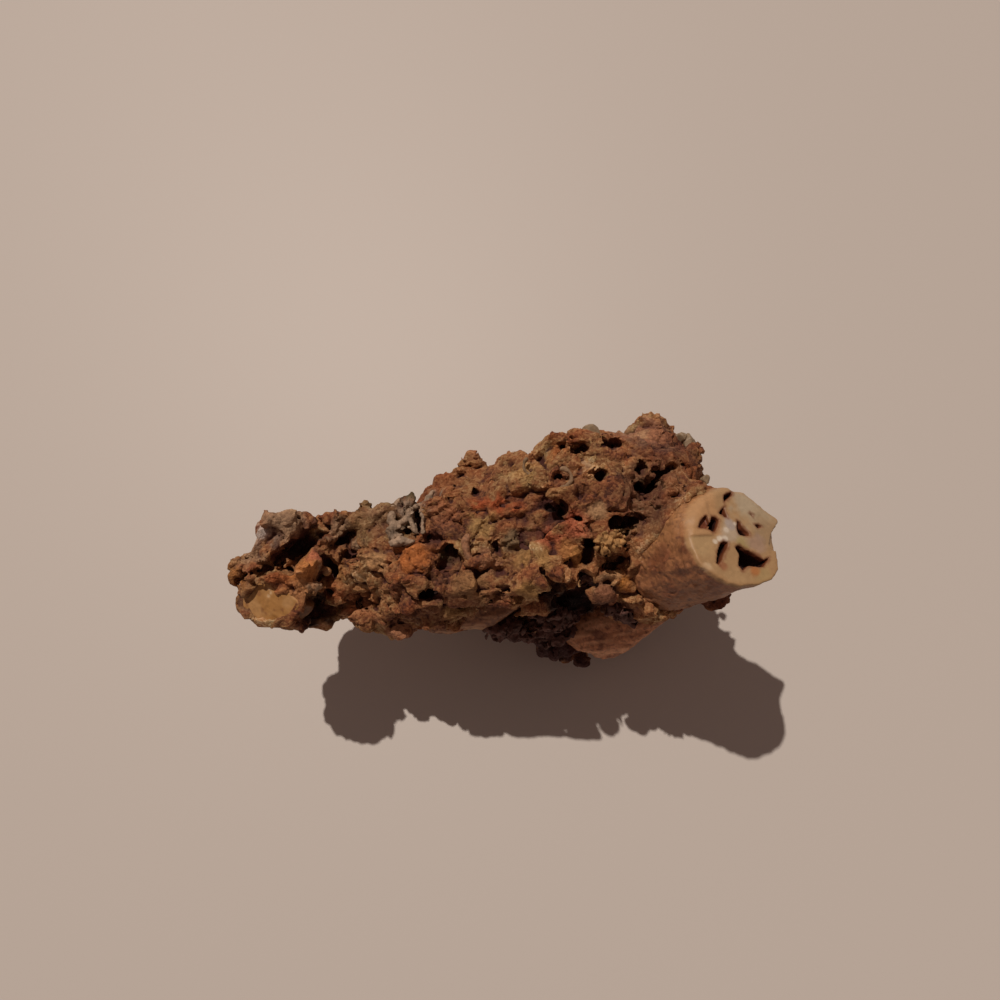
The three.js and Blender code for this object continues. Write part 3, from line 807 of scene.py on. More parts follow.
def node_fields(name, sources, pitch, margin, reach):
    """A field round one CAD node, and the distances to the CAD nodes that are its sources."""
    low, high = (np.array(corner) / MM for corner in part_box(name))
    field = Field(low - margin, high + margin, pitch)
    return field, {source: field.distances(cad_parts[source], reach) for source in sources}


def blurred(values, width):
    """The mean over a cube of grid points, width of them along each edge."""
    result = values
    for axis in range(3):
        padding = [(0, 0)] * 3
        padding[axis] = (width // 2 + 1, width // 2)
        total = np.cumsum(np.pad(result, padding, "edge"), axis=axis, dtype=np.float64)
        upper = np.take(total, range(width, total.shape[axis]), axis)
        lower = np.take(total, range(total.shape[axis] - width), axis)
        result = ((upper - lower) / width).astype(np.float32)
    return result


def largest_body(places, faces):
    """The vertices and faces of the largest joined-up part of a mesh."""
    label = np.arange(len(places))
    edges = np.concatenate([faces[:, [0, 1]], faces[:, [1, 2]]])
    while True:
        lowest = np.minimum(label[edges[:, 0]], label[edges[:, 1]])
        previous = label.copy()
        np.minimum.at(label, edges[:, 0], lowest)
        np.minimum.at(label, edges[:, 1], lowest)
        label = label[label]
        label = label[label]
        if np.array_equal(label, previous):
            break
    largest = np.bincount(label).argmax()
    kept = label == largest
    number = np.cumsum(kept) - 1
    return places[kept], number[faces[kept[faces[:, 0]]]]


def triangle_mesh(name, places, faces):
    """A mesh in metres from places in millimetres and triangles, with its faces outwards."""
    corners = places[faces].astype(np.float64)
    volume = dots(corners[:, 0], np.cross(corners[:, 1], corners[:, 2])).sum()
    if volume < 0:
        faces = faces[:, ::-1]
    mesh = bpy.data.meshes.new(name)
    mesh.vertices.add(len(places))
    mesh.vertices.foreach_set("co", (places * MM).astype(np.float32).ravel())
    mesh.loops.add(faces.size)
    mesh.loops.foreach_set("vertex_index", faces.astype(np.int32).ravel())
    mesh.polygons.add(len(faces))
    mesh.polygons.foreach_set("loop_start", np.arange(0, faces.size, 3, dtype=np.int32))
    mesh.update(calc_edges=True)
    mesh.validate()
    return mesh


# ---------------------------------------------------------------- objects


def new_object(name, data):
    """A new object in the scene that holds a mesh, a lamp or a camera."""
    made = bpy.data.objects.new(name, data)
    bpy.context.scene.collection.objects.link(made)
    return made


def bake(made):
    """Turns an object's modifiers into a plain mesh."""
    bpy.context.view_layer.update()
    graph = bpy.context.evaluated_depsgraph_get()
    mesh = bpy.data.meshes.new_from_object(made.evaluated_get(graph))
    made.modifiers.clear()
    old = made.data
    made.data = mesh
    bpy.data.meshes.remove(old)
    mesh.name = made.name


def field_object(name, field):
    """A new object that holds a field's surface, with no more triangles than a piece may have."""
    made = new_object(name, triangle_mesh(name, *field.surface()))
    count = len(made.data.polygons)
    if count > MOST_TRIANGLES:
        made.modifiers.new("Thin", "DECIMATE").ratio = MOST_TRIANGLES / count
        bake(made)
    return made


def smooth_shaded(mesh, sharpest=180):
    """Shades a mesh smoothly, but for edges sharper than an angle in degrees."""
    mesh.polygons.foreach_set("use_smooth", np.ones(len(mesh.polygons), bool))
    if sharpest < 180:
        mesh.set_sharp_from_angle(angle=math.radians(sharpest))
    mesh.update()


def in_millimetres(length):
    """A setting's length in millimetres, free of the rounding that settings are kept with."""
    return round(length / MM, 4)


def set_number(mesh, name, values):
    """A number for each vertex, which a material reads by its name."""
    attribute = mesh.attributes.new(name, "FLOAT", "POINT")
    attribute.data.foreach_set("value", np.asarray(values, np.float32))


def set_colour(mesh, name, values):
    """A colour and a strength for each vertex, which a material reads by its name."""
    attribute = mesh.attributes.new(name, "FLOAT_COLOR", "POINT")
    attribute.data.foreach_set("color", np.asarray(values, np.float32).ravel())


def place_piece(piece, slot, *nodes):
    """Rides a finished piece on the specimen, for the CAD nodes that it stands for."""
    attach(piece, BODY)
    if nodes:
        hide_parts(*nodes)


def tinted(places, tints):
    """The colour and the strength of the tints, and of the painted shade among them, at each place."""
    wobble = 1 + 0.55 * rough_noise(places, wave=1.6, seed=61)
    colour = np.zeros((len(places), 4), np.float32)
    for x, y, z, radius, tint_and_painted_shade, strength in tints:
        distance = lengths(places - floats((x, y, z))) * wobble
        share = (strength * (1 - smooth_step(0.55 * radius, 1.15 * radius, distance)))[:, None]
        colour[:, :3] = np.where(
            colour[:, 3:] > 0, colour[:, :3] * (1 - share) + np.array(tint_and_painted_shade) * share, np.array(tint_and_painted_shade)
        )
        colour[:, 3:] = np.maximum(colour[:, 3:], share)
    return colour


# ---------------------------------------------------------------- shaders


class Nodes:
    """Adds nodes to a tree and joins them up."""

    def __init__(self, tree):
        self.tree = tree

    def add(self, kind, inputs=(), **settings):
        """A node with its settings, whose inputs are given by name or number: a value, or a socket to
        join."""
        node = self.tree.nodes.new(kind)
        for name, value in settings.items():
            setattr(node, name, value)
        for name, value in dict(inputs).items():
            if isinstance(value, bpy.types.NodeSocket):
                self.tree.links.new(value, node.inputs[name])
            else:
                node.inputs[name].default_value = value
        return node

    def math(self, operation, *values, clamp=False):
        """The result of an operation on values or sockets."""
        return self.add(
            "ShaderNodeMath", dict(enumerate(values)), operation=operation, use_clamp=clamp
        ).outputs[0]

    def spread(self, value, low, high, to_low=0.0, to_high=1.0):
        """value from low to high, stretched to run from to_low to to_high."""
        inputs = {0: value, 1: low, 2: high, 3: to_low, 4: to_high}
        return self.add("ShaderNodeMapRange", inputs, interpolation_type="SMOOTHSTEP").outputs[0]

    def mix(self, share, first, second, blend="MIX"):
        """Two colours, each a socket or three numbers, mixed by a share."""
        inputs = {0: share}
        for index, value in ((6, first), (7, second)):
            inputs[index] = value if isinstance(value, bpy.types.NodeSocket) else (*value, 1)
        return self.add("ShaderNodeMix", inputs, data_type="RGBA", blend_type=blend).outputs[2]

    def ramp(self, value, stops):
        """The colour at value on a ramp of (place, colour) stops."""
        node = self.add("ShaderNodeValToRGB", {0: value})
        elements = node.color_ramp.elements
        while len(elements) < len(stops):
            elements.new(0.5)
        for element, (place, colour) in zip(elements, stops):
            element.position = place
            element.color = (*colour, 1)
        return node.outputs[0]

    def attribute(self, name):
        """The numbers or the colour that a piece has for each of its vertices."""
        return self.add("ShaderNodeAttribute", attribute_name=name).outputs

    def where(self):
        """The place on the piece."""
        return self.add("ShaderNodeTexCoord").outputs["Object"]

    def noise(self, where, size, detail=4.0):
        """Noise whose bumps are about size millimetres across."""
        inputs = {"Vector": where, "Scale": 1 / (size * MM), "Detail": detail, "Roughness": 0.6}
        return self.add("ShaderNodeTexNoise", inputs).outputs

    def random(self, kind, least, most, seed):
        """A random number for each bit, or three of them."""
        first, out = (0, 0) if kind == "FLOAT_VECTOR" else (2, 1)
        inputs = {first: least, first + 1: most, "Seed": seed}
        return self.add("FunctionNodeRandomValue", inputs, data_type=kind).outputs[out]


def new_group(name, inputs, outputs):
    """A shader node group: (name, socket type, default) inputs and (name, socket type) outputs."""
    tree = bpy.data.node_groups.new(name, "ShaderNodeTree")
    for label, kind, default in inputs:
        socket = tree.interface.new_socket(label, in_out="INPUT", socket_type=kind)
        socket.default_value = default
    for label, kind in outputs:
        tree.interface.new_socket(label, in_out="OUTPUT", socket_type=kind)
    nodes = Nodes(tree)
    return nodes, tree.nodes.new("NodeGroupInput").outputs, tree.nodes.new("NodeGroupOutput").inputs


def grain_group():
    """The fine grain of all the stone: a tone from 0 to 1 and a height for the bump."""
    if "Stone grain" in bpy.data.node_groups:
        return bpy.data.node_groups["Stone grain"]
    nodes, given, result = new_group(
        "Stone grain",
        [("Grain size", "NodeSocketFloat", 0.4), ("Crystals", "NodeSocketFloat", 0.5)],
        [("Tone", "NodeSocketFloat"), ("Height", "NodeSocketFloat")],
    )
    where = nodes.where()
    scale = nodes.math("DIVIDE", 1 / MM, given["Grain size"])
    inputs = {"Vector": where, "Scale": scale, "Detail": 5.0, "Roughness": 0.65}
    fine = nodes.add("ShaderNodeTexNoise", inputs).outputs[0]
    cells = nodes.add("ShaderNodeTexVoronoi", {"Vector": where, "Scale": scale})
    facets = nodes.math("MULTIPLY", cells.outputs["Distance"], given["Crystals"])
    height = nodes.math("SUBTRACT", fine, facets)
    cell_tone = nodes.add("ShaderNodeSeparateColor", {0: cells.outputs["Color"]}).outputs[0]
    tone = nodes.math("ADD", nodes.math("MULTIPLY", fine, 0.6), nodes.math("MULTIPLY", cell_tone, 0.4))
    nodes.tree.links.new(tone, result["Tone"])
    nodes.tree.links.new(height, result["Height"])
    return nodes.tree


def grain_of(nodes, size, crystals):
    """The tone and the height of grain about size millimetres across."""
    inputs = {"Grain size": size, "Crystals": crystals}
    return nodes.add("ShaderNodeGroup", inputs, node_tree=grain_group()).outputs


def hollow_stain_and_painted_shade_group():
    """Dark iron and manganese stain that gathers in hollows, with painted shade that darkens them to
    nearly black deep down, and pale wear on what stands out.
    """
    nodes, given, result = new_group(
        "Hollow stain and painted shade",
        [
            ("Colour", "NodeSocketColor", (0.5, 0.5, 0.5, 1)),
            ("Hollow", "NodeSocketFloat", 0.5),
            ("Deep", "NodeSocketFloat", 0.0),
            ("Stain and painted shade", "NodeSocketColor", (*PURPLE_BROWN, 1)),
            ("Amount", "NodeSocketFloat", 1.0),
            ("Wear", "NodeSocketFloat", 0.3),
        ],
        [("Colour", "NodeSocketColor")],
    )
    where = nodes.where()
    patch = nodes.noise(where, size=1.2)[0]
    depth = nodes.math("ADD", given["Hollow"], nodes.spread(patch, 0.2, 0.8, -0.08, 0.08))
    inner = nodes.math("ADD", given["Deep"], nodes.spread(patch, 0.2, 0.8, -0.3, 0.3))
    share = nodes.math("MAXIMUM", nodes.spread(depth, 0.54, 0.74), nodes.spread(inner, 0.5, 1.7))
    share = nodes.math("MULTIPLY", share, given["Amount"], clamp=True)
    # Painted shade: the stain colour is mixed in where the crust is hollow, then near-black where it lies
    # deep.
    stained = nodes.mix(share, given["Colour"], given["Stain and painted shade"])
    stained = nodes.mix(nodes.spread(inner, 1.4, 2.8), stained, DEEP_PAINTED_SHADE)
    worn = nodes.mix(1.0, stained, (1.5, 1.42, 1.32), "MULTIPLY")
    edge = nodes.math("MULTIPLY", nodes.spread(depth, 0.46, 0.30), given["Wear"], clamp=True)
    nodes.tree.links.new(nodes.mix(edge, stained, worn), result["Colour"])
    return nodes.tree


def new_material(name):
    """A material, its nodes and its shader."""
    material = bpy.data.materials.new(name)
    material.use_nodes = True
    shader = material.node_tree.nodes["Principled BSDF"]
    return material, Nodes(material.node_tree), shader


def finish_surface(nodes, shader, colour, roughness, height, depth):
    """Joins a colour, a roughness and a bump depth millimetres deep to the shader."""
    links = nodes.tree.links
    links.new(colour, shader.inputs["Base Color"])
    if isinstance(roughness, bpy.types.NodeSocket):
        links.new(roughness, shader.inputs["Roughness"])
    else:
        shader.inputs["Roughness"].default_value = roughness
    bump = nodes.add("ShaderNodeBump", {"Height": height, "Distance": depth * MM, "Strength": 1.0})
    links.new(bump.outputs[0], shader.inputs["Normal"])


def crust_material(stain):
    """Crumbs of rust, ochre, buff and purple-brown, with dark stain and painted shade in the pits between
    them.
    """
    material, nodes, shader = new_material("Stained crust with painted shade")
    where = nodes.where()
    grain = grain_of(nodes, size=0.34, crystals=0.6)
    crumb = nodes.attribute("crumb")["Fac"]
    lump = nodes.attribute("lump")["Fac"]
    broad = nodes.noise(where, size=6.0, detail=3.0)[0]
    pick = nodes.math("ADD", nodes.math("MULTIPLY", crumb, 0.30), nodes.math("MULTIPLY", lump, 0.36))
    pick = nodes.math("ADD", pick, nodes.spread(broad, 0.3, 0.7, -0.10, 0.18))
    pick = nodes.math("ADD", pick, nodes.spread(grain["Tone"], 0.25, 0.75, -0.03, 0.39))
    pick = nodes.math("ADD", pick, nodes.math("MULTIPLY", nodes.attribute("shade")["Fac"], 0.12))
    stops = (
        (0.10, (0.075, 0.028, 0.019)),
        (0.28, (0.155, 0.06, 0.029)),
        (0.44, (0.22, 0.094, 0.041)),
        (0.60, (0.275, 0.135, 0.059)),
        (0.76, (0.34, 0.19, 0.088)),
        (0.92, (0.43, 0.27, 0.138)),
        (1.0, (0.52, 0.37, 0.22)),
    )
    colour = nodes.ramp(pick, stops)
    hue_stops = ((0.32, (1.10, 0.86, 0.74)), (0.68, (0.92, 1.04, 0.98)))
    hue = nodes.ramp(nodes.noise(where, size=3.2, detail=3.0)[0], hue_stops)
    colour = nodes.mix(1.0, colour, hue, "MULTIPLY")
    # The tint attribute also holds painted shade in the knob's cave, the neck gap and the recess.
    tint_and_painted_shade = nodes.attribute("tint_and_painted_shade")
    tone = nodes.ramp(grain["Tone"], ((0.2, (0.45,) * 3), (0.8, (1.35,) * 3)))
    colour = nodes.mix(tint_and_painted_shade["Alpha"], colour, nodes.mix(0.75, tint_and_painted_shade["Color"], tone, "MULTIPLY"))
    inputs = {
        "Colour": colour,
        "Hollow": nodes.attribute("hollow")["Fac"],
        "Deep": nodes.attribute("deep")["Fac"],
        # The stain colour also serves as the painted shade that darkens the hollows.
        "Stain and painted shade": (*stain, 1),
    }
    colour = nodes.add("ShaderNodeGroup", inputs, node_tree=hollow_stain_and_painted_shade_group()).outputs[0]
    roughness = nodes.spread(grain["Tone"], 0.3, 0.9, 0.95, 0.62)
    bumps = nodes.math("MULTIPLY", nodes.noise(where, size=0.9)[0], 0.8)
    height = nodes.math("ADD", grain["Height"], bumps)
    finish_surface(nodes, shader, colour, roughness, height, depth=0.14)
    shader.inputs["Specular IOR Level"].default_value = 0.35
    return material


# ---------------------------------------------------------------- the crust


def hollow_wall(points):
    """How far crumbs stand into the hollows."""
    random, offset, _ = nearest_crumbs(points, size=1.5, seed=36)
    tilt = 0.5 * dots((random[:, 1:4] - 0.5) * 2, offset)
    return 0.5 * rough_noise(points, wave=2.6, seed=31, octaves=2) + 0.5 * (random[:, 0] - 0.5) + tilt


def carve(field, path, depth):
    """Sinks a rough-walled hollow into a field, under a path of places with their half widths."""
    path = floats(path)
    if len(path) > 1:
        spans = len(path) - 1
        along = np.linspace(0, spans, STEPS_PER_SPAN * spans + 1)
        path = np.stack([np.interp(along, range(len(path)), column) for column in path.T], 1)
    margin = depth + path[:, 3].max() + ROUGHNESS_ROOM
    part, places = field.box(path[:, :3].min(0) - margin, path[:, :3].max(0) + margin)
    axis = floats(HOLLOW_AXIS)
    found = np.full(len(places), FAR, np.float32)
    for x, y, z, half_width in path:
        away = places - floats((x, y, z))
        rise = away @ axis
        level = np.sqrt(np.maximum(dots(away, away) - rise**2, 0))
        width = half_width * (1 - HOLLOW_TAPER * smooth_step(0, depth, -rise))
        found = np.minimum(found, np.maximum(level - width, np.abs(rise) - depth))
    found += in_chunks(hollow_wall, places)
    field.cut(part, found)


def angular(away, seed, facets, ball, flat):
    """How far out places lie in a ball with flat facets cut on it: 1 on its surface. The larger ball is,
    the smaller the ball, and the larger flat is, the deeper the facets."""
    facing = np.random.default_rng(seed).normal(size=(facets, 3)).astype(np.float32)
    facing /= lengths(facing)[:, None]
    return np.maximum(lengths(away) * ball, (away @ facing.T).max(1) * flat)


def add_lump(field, seed, x, y, z, *radii, rough=0.2, wave=2.0):
    """Joins an angular chunk to a field."""
    middle = floats((x, y, z))
    radii = floats(radii)
    part, places = field.box(middle - radii - 1.5, middle + radii + 1.5)
    away = (places - middle) / radii
    reach = angular(away, seed, facets=9, ball=0.92, flat=1.18)
    found = (reach - 1) * radii.min() + rough * rough_noise(places, wave=wave, seed=35)
    field.join(part, found)


def add_wedge(field):
    """Joins the orange wedge to a field."""
    corners = floats(WEDGE)
    middle = corners.mean(0)
    part, places = field.box(corners.min(0) - 1, corners.max(0) + 1)
    found = np.full(len(places), -FAR, np.float32)
    for first, second, third in corners[np.array(WEDGE_FACETS)]:
        facing = np.cross(second - first, third - first)
        facing *= np.sign(facing @ (first - middle)) / np.linalg.norm(facing)
        found = np.maximum(found, (places - first) @ facing)
    found += 0.12 * rough_noise(places, wave=1.6, seed=38)
    field.join(part, found)


def bareness(places):
    """How much of each place is the bare facet of a chunk, from 0 to 1."""
    share = np.zeros(len(places), np.float32)
    middle = floats(WEDGE).mean(0)
    wedge = [*(middle + (-0.2, 0.2, 0.6)), 1.9, 3.0, 2.2]
    for x, y, z, *radii in [*BARE_LUMPS.values(), *HOLLOW_LUMPS.values(), wedge]:
        away = (places - floats((x, y, z))) / floats(radii)
        share = np.maximum(share, 1 - smooth_step(0.85, 1.25, lengths(away)))
    share = share * smooth_step(-0.5, 0.1, rough_noise(places, wave=1.5, seed=39, octaves=2))
    return np.maximum(share, 1 - smooth_step(0.4, 0.8, places[:, 2]))


def bent_places(places):
    """Places drawn out along the crust's grain and shifted a little, so that its slabs aren't regular."""
    grain = floats(GRAIN)
    drawn = places - 0.38 * np.outer(places @ grain, grain)
    return drawn + 0.5 * shifts(places, wave=3.0, seed=41)


def crust_relief(places):
    """How far the crust's crumbs, crevices and waves stand out at each place."""
    bent = bent_places(places)
    relief = 0.4 * rough_noise(places, wave=5.5, seed=51, octaves=2)
    rough = 0.75 + 0.45 * smooth_step(-0.35, 0.4, noise(places, wave=7.0, seed=55))
    rough = rough * (0.35 + 0.65 * smooth_step(0.5, 4.0, places[:, 2])) * (1 - 0.88 * bareness(places))
    rough *= 1 - 0.35 * smooth_step(-25, -28, places[:, 0])
    for layer in CRUMBS:
        random, offset, border = nearest_crumbs(bent, size=layer["size"], seed=layer["seed"])
        stand = (random[:, 0] - 0.5) * 2 * layer["stand"]
        tilt = layer["tilt"] * dots((random[:, 1:4] - 0.5) * 2, offset)
        crevice = layer["crevice"] * np.clip(1 - border / layer["width"], 0, 1)
        relief += rough * (stand + tilt - crevice)
    ridges = 0.24 * (0.5 - np.abs(noise(bent, wave=2.1, seed=57)))
    ridges += 0.10 * (0.5 - np.abs(noise(places, wave=0.9, seed=58)))
    gouges = 0.34 * smooth_step(0.16, 0.42, noise(bent, wave=1.15, seed=59))
    return relief + rough * (ridges - gouges + 0.06 * noise(places, wave=0.55, seed=60))


def pits(places):
    """How far each place is from the wall of the nearest pit."""
    bent = places + 0.35 * shifts(places, wave=1.4, seed=44)
    return np.minimum(pit_distance(bent, **PITS[0]), pit_distance(bent, **PITS[1]))


def sleeve(field, branch):
    """Wraps crust round the foot of the upper branch, up to the line where it ends on the wall."""
    part, places = field.box(*SLEEVE_BOX)
    across, up, _, along = upper_coordinates(places)
    end = np.interp(up, *zip(*SLEEVE_END))
    thick = 0.5 + 0.1 * np.clip(end - along, 0, 8)
    wrap = np.maximum(branch[part].ravel() - thick, along - end)
    wrap = np.maximum(wrap, across - 1.0)
    field.join(part, wrap)


def clear_face(field):
    """Takes the crust away from the tip branch's broken end, but for the rim that overlaps it."""
    part, places = field.box(np.array(TIP.origin) - 7, np.array(TIP.origin) + 7)
    across, up, rise = TIP.coordinates(places)
    wobble = 0.35 * chunked_noise(places, wave=1.8, seed=33)
    edge = outline_distance(across + wobble, up + wobble, TIP_OUTLINE) - 0.1 * np.maximum(rise, 0)
    found = np.maximum(edge, -0.12 - rise)
    field.cut(part, found)


def trim_rim(field):
    """Takes off what stands out beyond the rim's reach."""
    part, places = field.box(*RIM_BOX)
    slope_x, slope_y = LAMP_FROM[0] / LAMP_FROM[2], LAMP_FROM[1] / LAMP_FROM[2]
    reach = np.interp(places[:, 0] - slope_x * places[:, 2], *zip(*RIM_REACH))
    beyond = reach - (places[:, 1] - slope_y * places[:, 2])
    found = beyond / math.hypot(1, slope_y) + 0.35 * chunked_noise(places, wave=2.2, seed=37)
    field.cut(part, -found)


def tip_collar(field, branch):
    """Wraps crust round the tip branch's wall and over the edge of its face."""
    part, places = field.box(np.array(TIP.origin) - 8, np.array(TIP.origin) + 6)
    rise = TIP.coordinates(places)[2]
    wrap = np.maximum(branch[part].ravel() - 0.75, rise - 0.35)
    field.join(part, wrap)


CORE_DEPTH = 0.4  # how far under the branches' skins the crust is filled
CORE_REACH = 1.0  # how far outside the crust this goes on
COAT = 0.3  # how thick the crust is at least where it covers a branch
COAT_DEPTH = 0.35  # how far under the crust's smooth surface this starts


def crust_field(pitch, relief):
    """The crust's surface with its crumbs, crevices and pits, and the smooth one that it grew from."""
    field, skins = node_fields("crust", ("crust", *BRANCHES), pitch, margin=2.5, reach=3)
    field.values = skins.pop("crust")
    # The tip branch's bulges are joined to its distances in place.
    whole_tip = copy.copy(field)
    whole_tip.values = skins["tip_branch"]
    for bulge in LOW_BRANCHES["tip_branch"]["bulges"]:
        add_lump(whole_tip, LOW_BRANCHES["tip_branch"]["seed"], *bulge)
    for skin in skins.values():
        core = np.minimum(field.values, skin + CORE_DEPTH)
        field.values = np.where(field.values < CORE_REACH, core, field.values)
    field.values = blurred(field.values, width=5)
    sleeve(field, skins["upper_branch"])
    tip_collar(field, skins["tip_branch"])
    for seed, lump in enumerate([*LUMPS.values(), *BARE_LUMPS.values()]):
        add_lump(field, seed, *lump)
    for path, depth in CUTS.values():
        carve(field, path, depth)
    field.values = blurred(field.values, width=3)
    smooth = field.values.copy()

    field.roughen(reach=2.0, follow=0.85, relief=lambda places: relief * crust_relief(places), pit=pits)
    for skin in skins.values():
        coat = np.maximum(skin - COAT, smooth + COAT_DEPTH)
        field.values = np.minimum(field.values, coat)
    for path, depth in [*HOLLOWS.values(), *TRIMS.values()]:
        carve(field, path, depth)
    for seed, lump in enumerate(HOLLOW_LUMPS.values()):
        add_lump(field, seed + 60, *lump, rough=0.45, wave=1.3)
    add_wedge(field)
    clear_face(field)
    trim_rim(field)
    heights = (np.arange(field.shape[2]) + field.start[2]) * pitch
    field.values = np.maximum(field.values, -heights.astype(np.float32))
    return field, smooth


def build_crust(settings):
    """Makes the crust from its field, with the numbers and colours that its material reads."""
    field, smooth = crust_field(in_millimetres(settings.detail), settings.relief)
    crust = field_object("crust_surface", field)
    mesh = crust.data
    places = vertex_places(mesh)
    solid = (field.values < 0).astype(np.float32)
    # hollow and deep are the masks by which the material paints stain and painted shade in the hollows.
    set_number(mesh, "hollow", field.sample(blurred(solid, width=9), places))
    set_number(mesh, "deep", -field.sample(smooth, places))
    bent = bent_places(places)
    for name, layer in zip(("lump", "crumb"), CRUMBS):
        set_number(mesh, name, nearest_crumbs(bent, layer["size"], layer["seed"])[0][:, 3])
    set_number(mesh, "bare", in_chunks(bareness, places))
    set_colour(mesh, "tint_and_painted_shade", tinted(places, TINTS_AND_PAINTED_SHADE))
    smooth_shaded(mesh, sharpest=34)
    mesh.materials.append(crust_material(settings.stain))
    place_piece(crust, "stained_crust", "crust")


# ---------------------------------------------------------------- loose crumbs on the crust

CRUMB_STAND = -0.18  # how far the middles of the crumbs lie outside the crust
GRAIN_STAND = -0.04  # likewise for the grains


def scatter_tree(name, material):
    """Nodes that set angular bits on a surface, sunk into it, each with a shade of its own."""
    tree = bpy.data.node_groups.new(name, "GeometryNodeTree")
    tree.interface.new_socket("Geometry", in_out="INPUT", socket_type="NodeSocketGeometry")
    for label, kind, default in (
        ("Density", "NodeSocketFloat", 1e6),
        ("Smallest", "NodeSocketFloat", 0.0002),
        ("Largest", "NodeSocketFloat", 0.0004),
        ("Stand", "NodeSocketFloat", 0.0),
        ("Seed", "NodeSocketInt", 1),
    ):
        tree.interface.new_socket(label, in_out="INPUT", socket_type=kind).default_value = default
    tree.interface.new_socket("Geometry", in_out="OUTPUT", socket_type="NodeSocketGeometry")
    nodes = Nodes(tree)
    given = tree.nodes.new("NodeGroupInput").outputs
    result = tree.nodes.new("NodeGroupOutput").inputs
    bare = nodes.add("GeometryNodeInputNamedAttribute", {"Name": "bare"}, data_type="FLOAT").outputs[0]
    density = nodes.math("MULTIPLY", given["Density"], nodes.math("SUBTRACT", 1.0, bare))
    inputs = {"Mesh": given["Geometry"], "Density": density, "Seed": given["Seed"]}
    points = nodes.add("GeometryNodeDistributePointsOnFaces", inputs).outputs
    inputs = {0: points["Normal"], "Scale": given["Stand"]}
    lift = nodes.add("ShaderNodeVectorMath", inputs, operation="SCALE").outputs[0]
    inputs = {"Geometry": points["Points"], "Offset": lift}
    lifted = nodes.add("GeometryNodeSetPosition", inputs).outputs[0]
    turn = nodes.random("FLOAT_VECTOR", (0.0,) * 3, (FULL_TURN,) * 3, seed=1)
    shape = nodes.random("FLOAT_VECTOR", (0.55,) * 3, (1.0,) * 3, seed=2)
    size = nodes.random("FLOAT", given["Smallest"], given["Largest"], seed=3)
    scale = nodes.add("ShaderNodeVectorMath", {0: shape, "Scale": size}, operation="SCALE").outputs[0]
    ball = nodes.add("GeometryNodeMeshIcoSphere", {"Radius": 0.5, "Subdivisions": 1}).outputs[0]
    inputs = {"Points": lifted, "Instance": ball, "Rotation": turn, "Scale": scale}
    bits = nodes.add("GeometryNodeInstanceOnPoints", inputs).outputs[0]
    shade = nodes.random("FLOAT", -1.0, 1.0, seed=4)
    inputs = {"Geometry": bits, "Name": "shade", "Value": shade}
    settings = {"domain": "INSTANCE", "data_type": "FLOAT"}
    shaded = nodes.add("GeometryNodeStoreNamedAttribute", inputs, **settings).outputs[0]
    real = nodes.add("GeometryNodeRealizeInstances", {"Geometry": shaded}).outputs[0]
    named = nodes.add("GeometryNodeSetMaterial", {"Geometry": real, "Material": material}).outputs[0]
    tree.links.new(named, result["Geometry"])
    return tree


def scatter(name, surface, tree, inputs):
    """Makes a piece of bits scattered on another piece's surface."""
    made = new_object(name, surface.data.copy())
    modifier = made.modifiers.new("Scatter", "NODES")
    modifier.node_group = tree
    for item in tree.interface.items_tree:
        if item.in_out == "INPUT" and item.name in inputs:
            modifier[item.identifier] = inputs[item.name]
    bake(made)
    place_piece(made, "stained_crust")


def build_crumbs(settings):
    """Scatters crumbs and grains on the crust."""
    crust = bpy.data.objects["crust_surface"]
    tree = scatter_tree("Scatter bits", crust.data.materials[0])
    for name, density, (least, most), stand, seed in (
        ("crust_crumbs", settings.crumb_density, settings.crumb_sizes, CRUMB_STAND, 3),
        ("crust_grains", settings.grain_density, settings.grain_sizes, GRAIN_STAND, 5),
    ):
        inputs = {"Density": density, "Smallest": least, "Largest": most}
        scatter(name, crust, tree, {**inputs, "Stand": stand * MM, "Seed": seed})


# ---------------------------------------------------------------- the branches


def blend(colour, share, other):
    """A colour for each place, mixed with another by a share from 0 to 1."""
    share = np.asarray(share)[:, None]
    return colour * (1 - share) + np.asarray(other) * share


def outline_distance(across, up, corners):
    """How far each point of a plane is from a closed outline, negative inside it."""
    nearest = np.full(len(across), FAR_SQUARED, np.float32)
    inside = np.zeros(len(across), bool)
    for (x, y), (next_x, next_y) in zip(corners, corners[1:] + corners[:1]):
        run, rise = next_x - x, next_y - y
        share = np.clip(((across - x) * run + (up - y) * rise) / (run * run + rise * rise), 0, 1)
        nearest = np.minimum(nearest, (across - x - share * run) ** 2 + (up - y - share * rise) ** 2)
        crossing = (y > up) != (next_y > up)
        inside ^= crossing & (across < x + (up - y) / (rise or 1) * run)
    return np.where(inside, -1, 1) * np.sqrt(nearest)


def joined_hard(first, second, radius):
    """The larger of two distances, with the edge where they meet rounded by a radius."""
    near = np.maximum(radius - np.abs(first - second), 0) / radius
    return np.maximum(first, second) + near * near * radius / 4


def upper_wall(across, up, along):
    """The distance to the upper branch's wall, in coordinates that follow its growth."""
    sharp = outline_distance(across, up, FACE_OUTLINE)
    round_wall = (np.sqrt(((across - 0.2) / 6.9) ** 2 + ((up + 0.2) / 7.1) ** 2) - 1) * 7
    share = smooth_step(-1.0, -7.0, along)
    return sharp * (1 - share) + round_wall * share


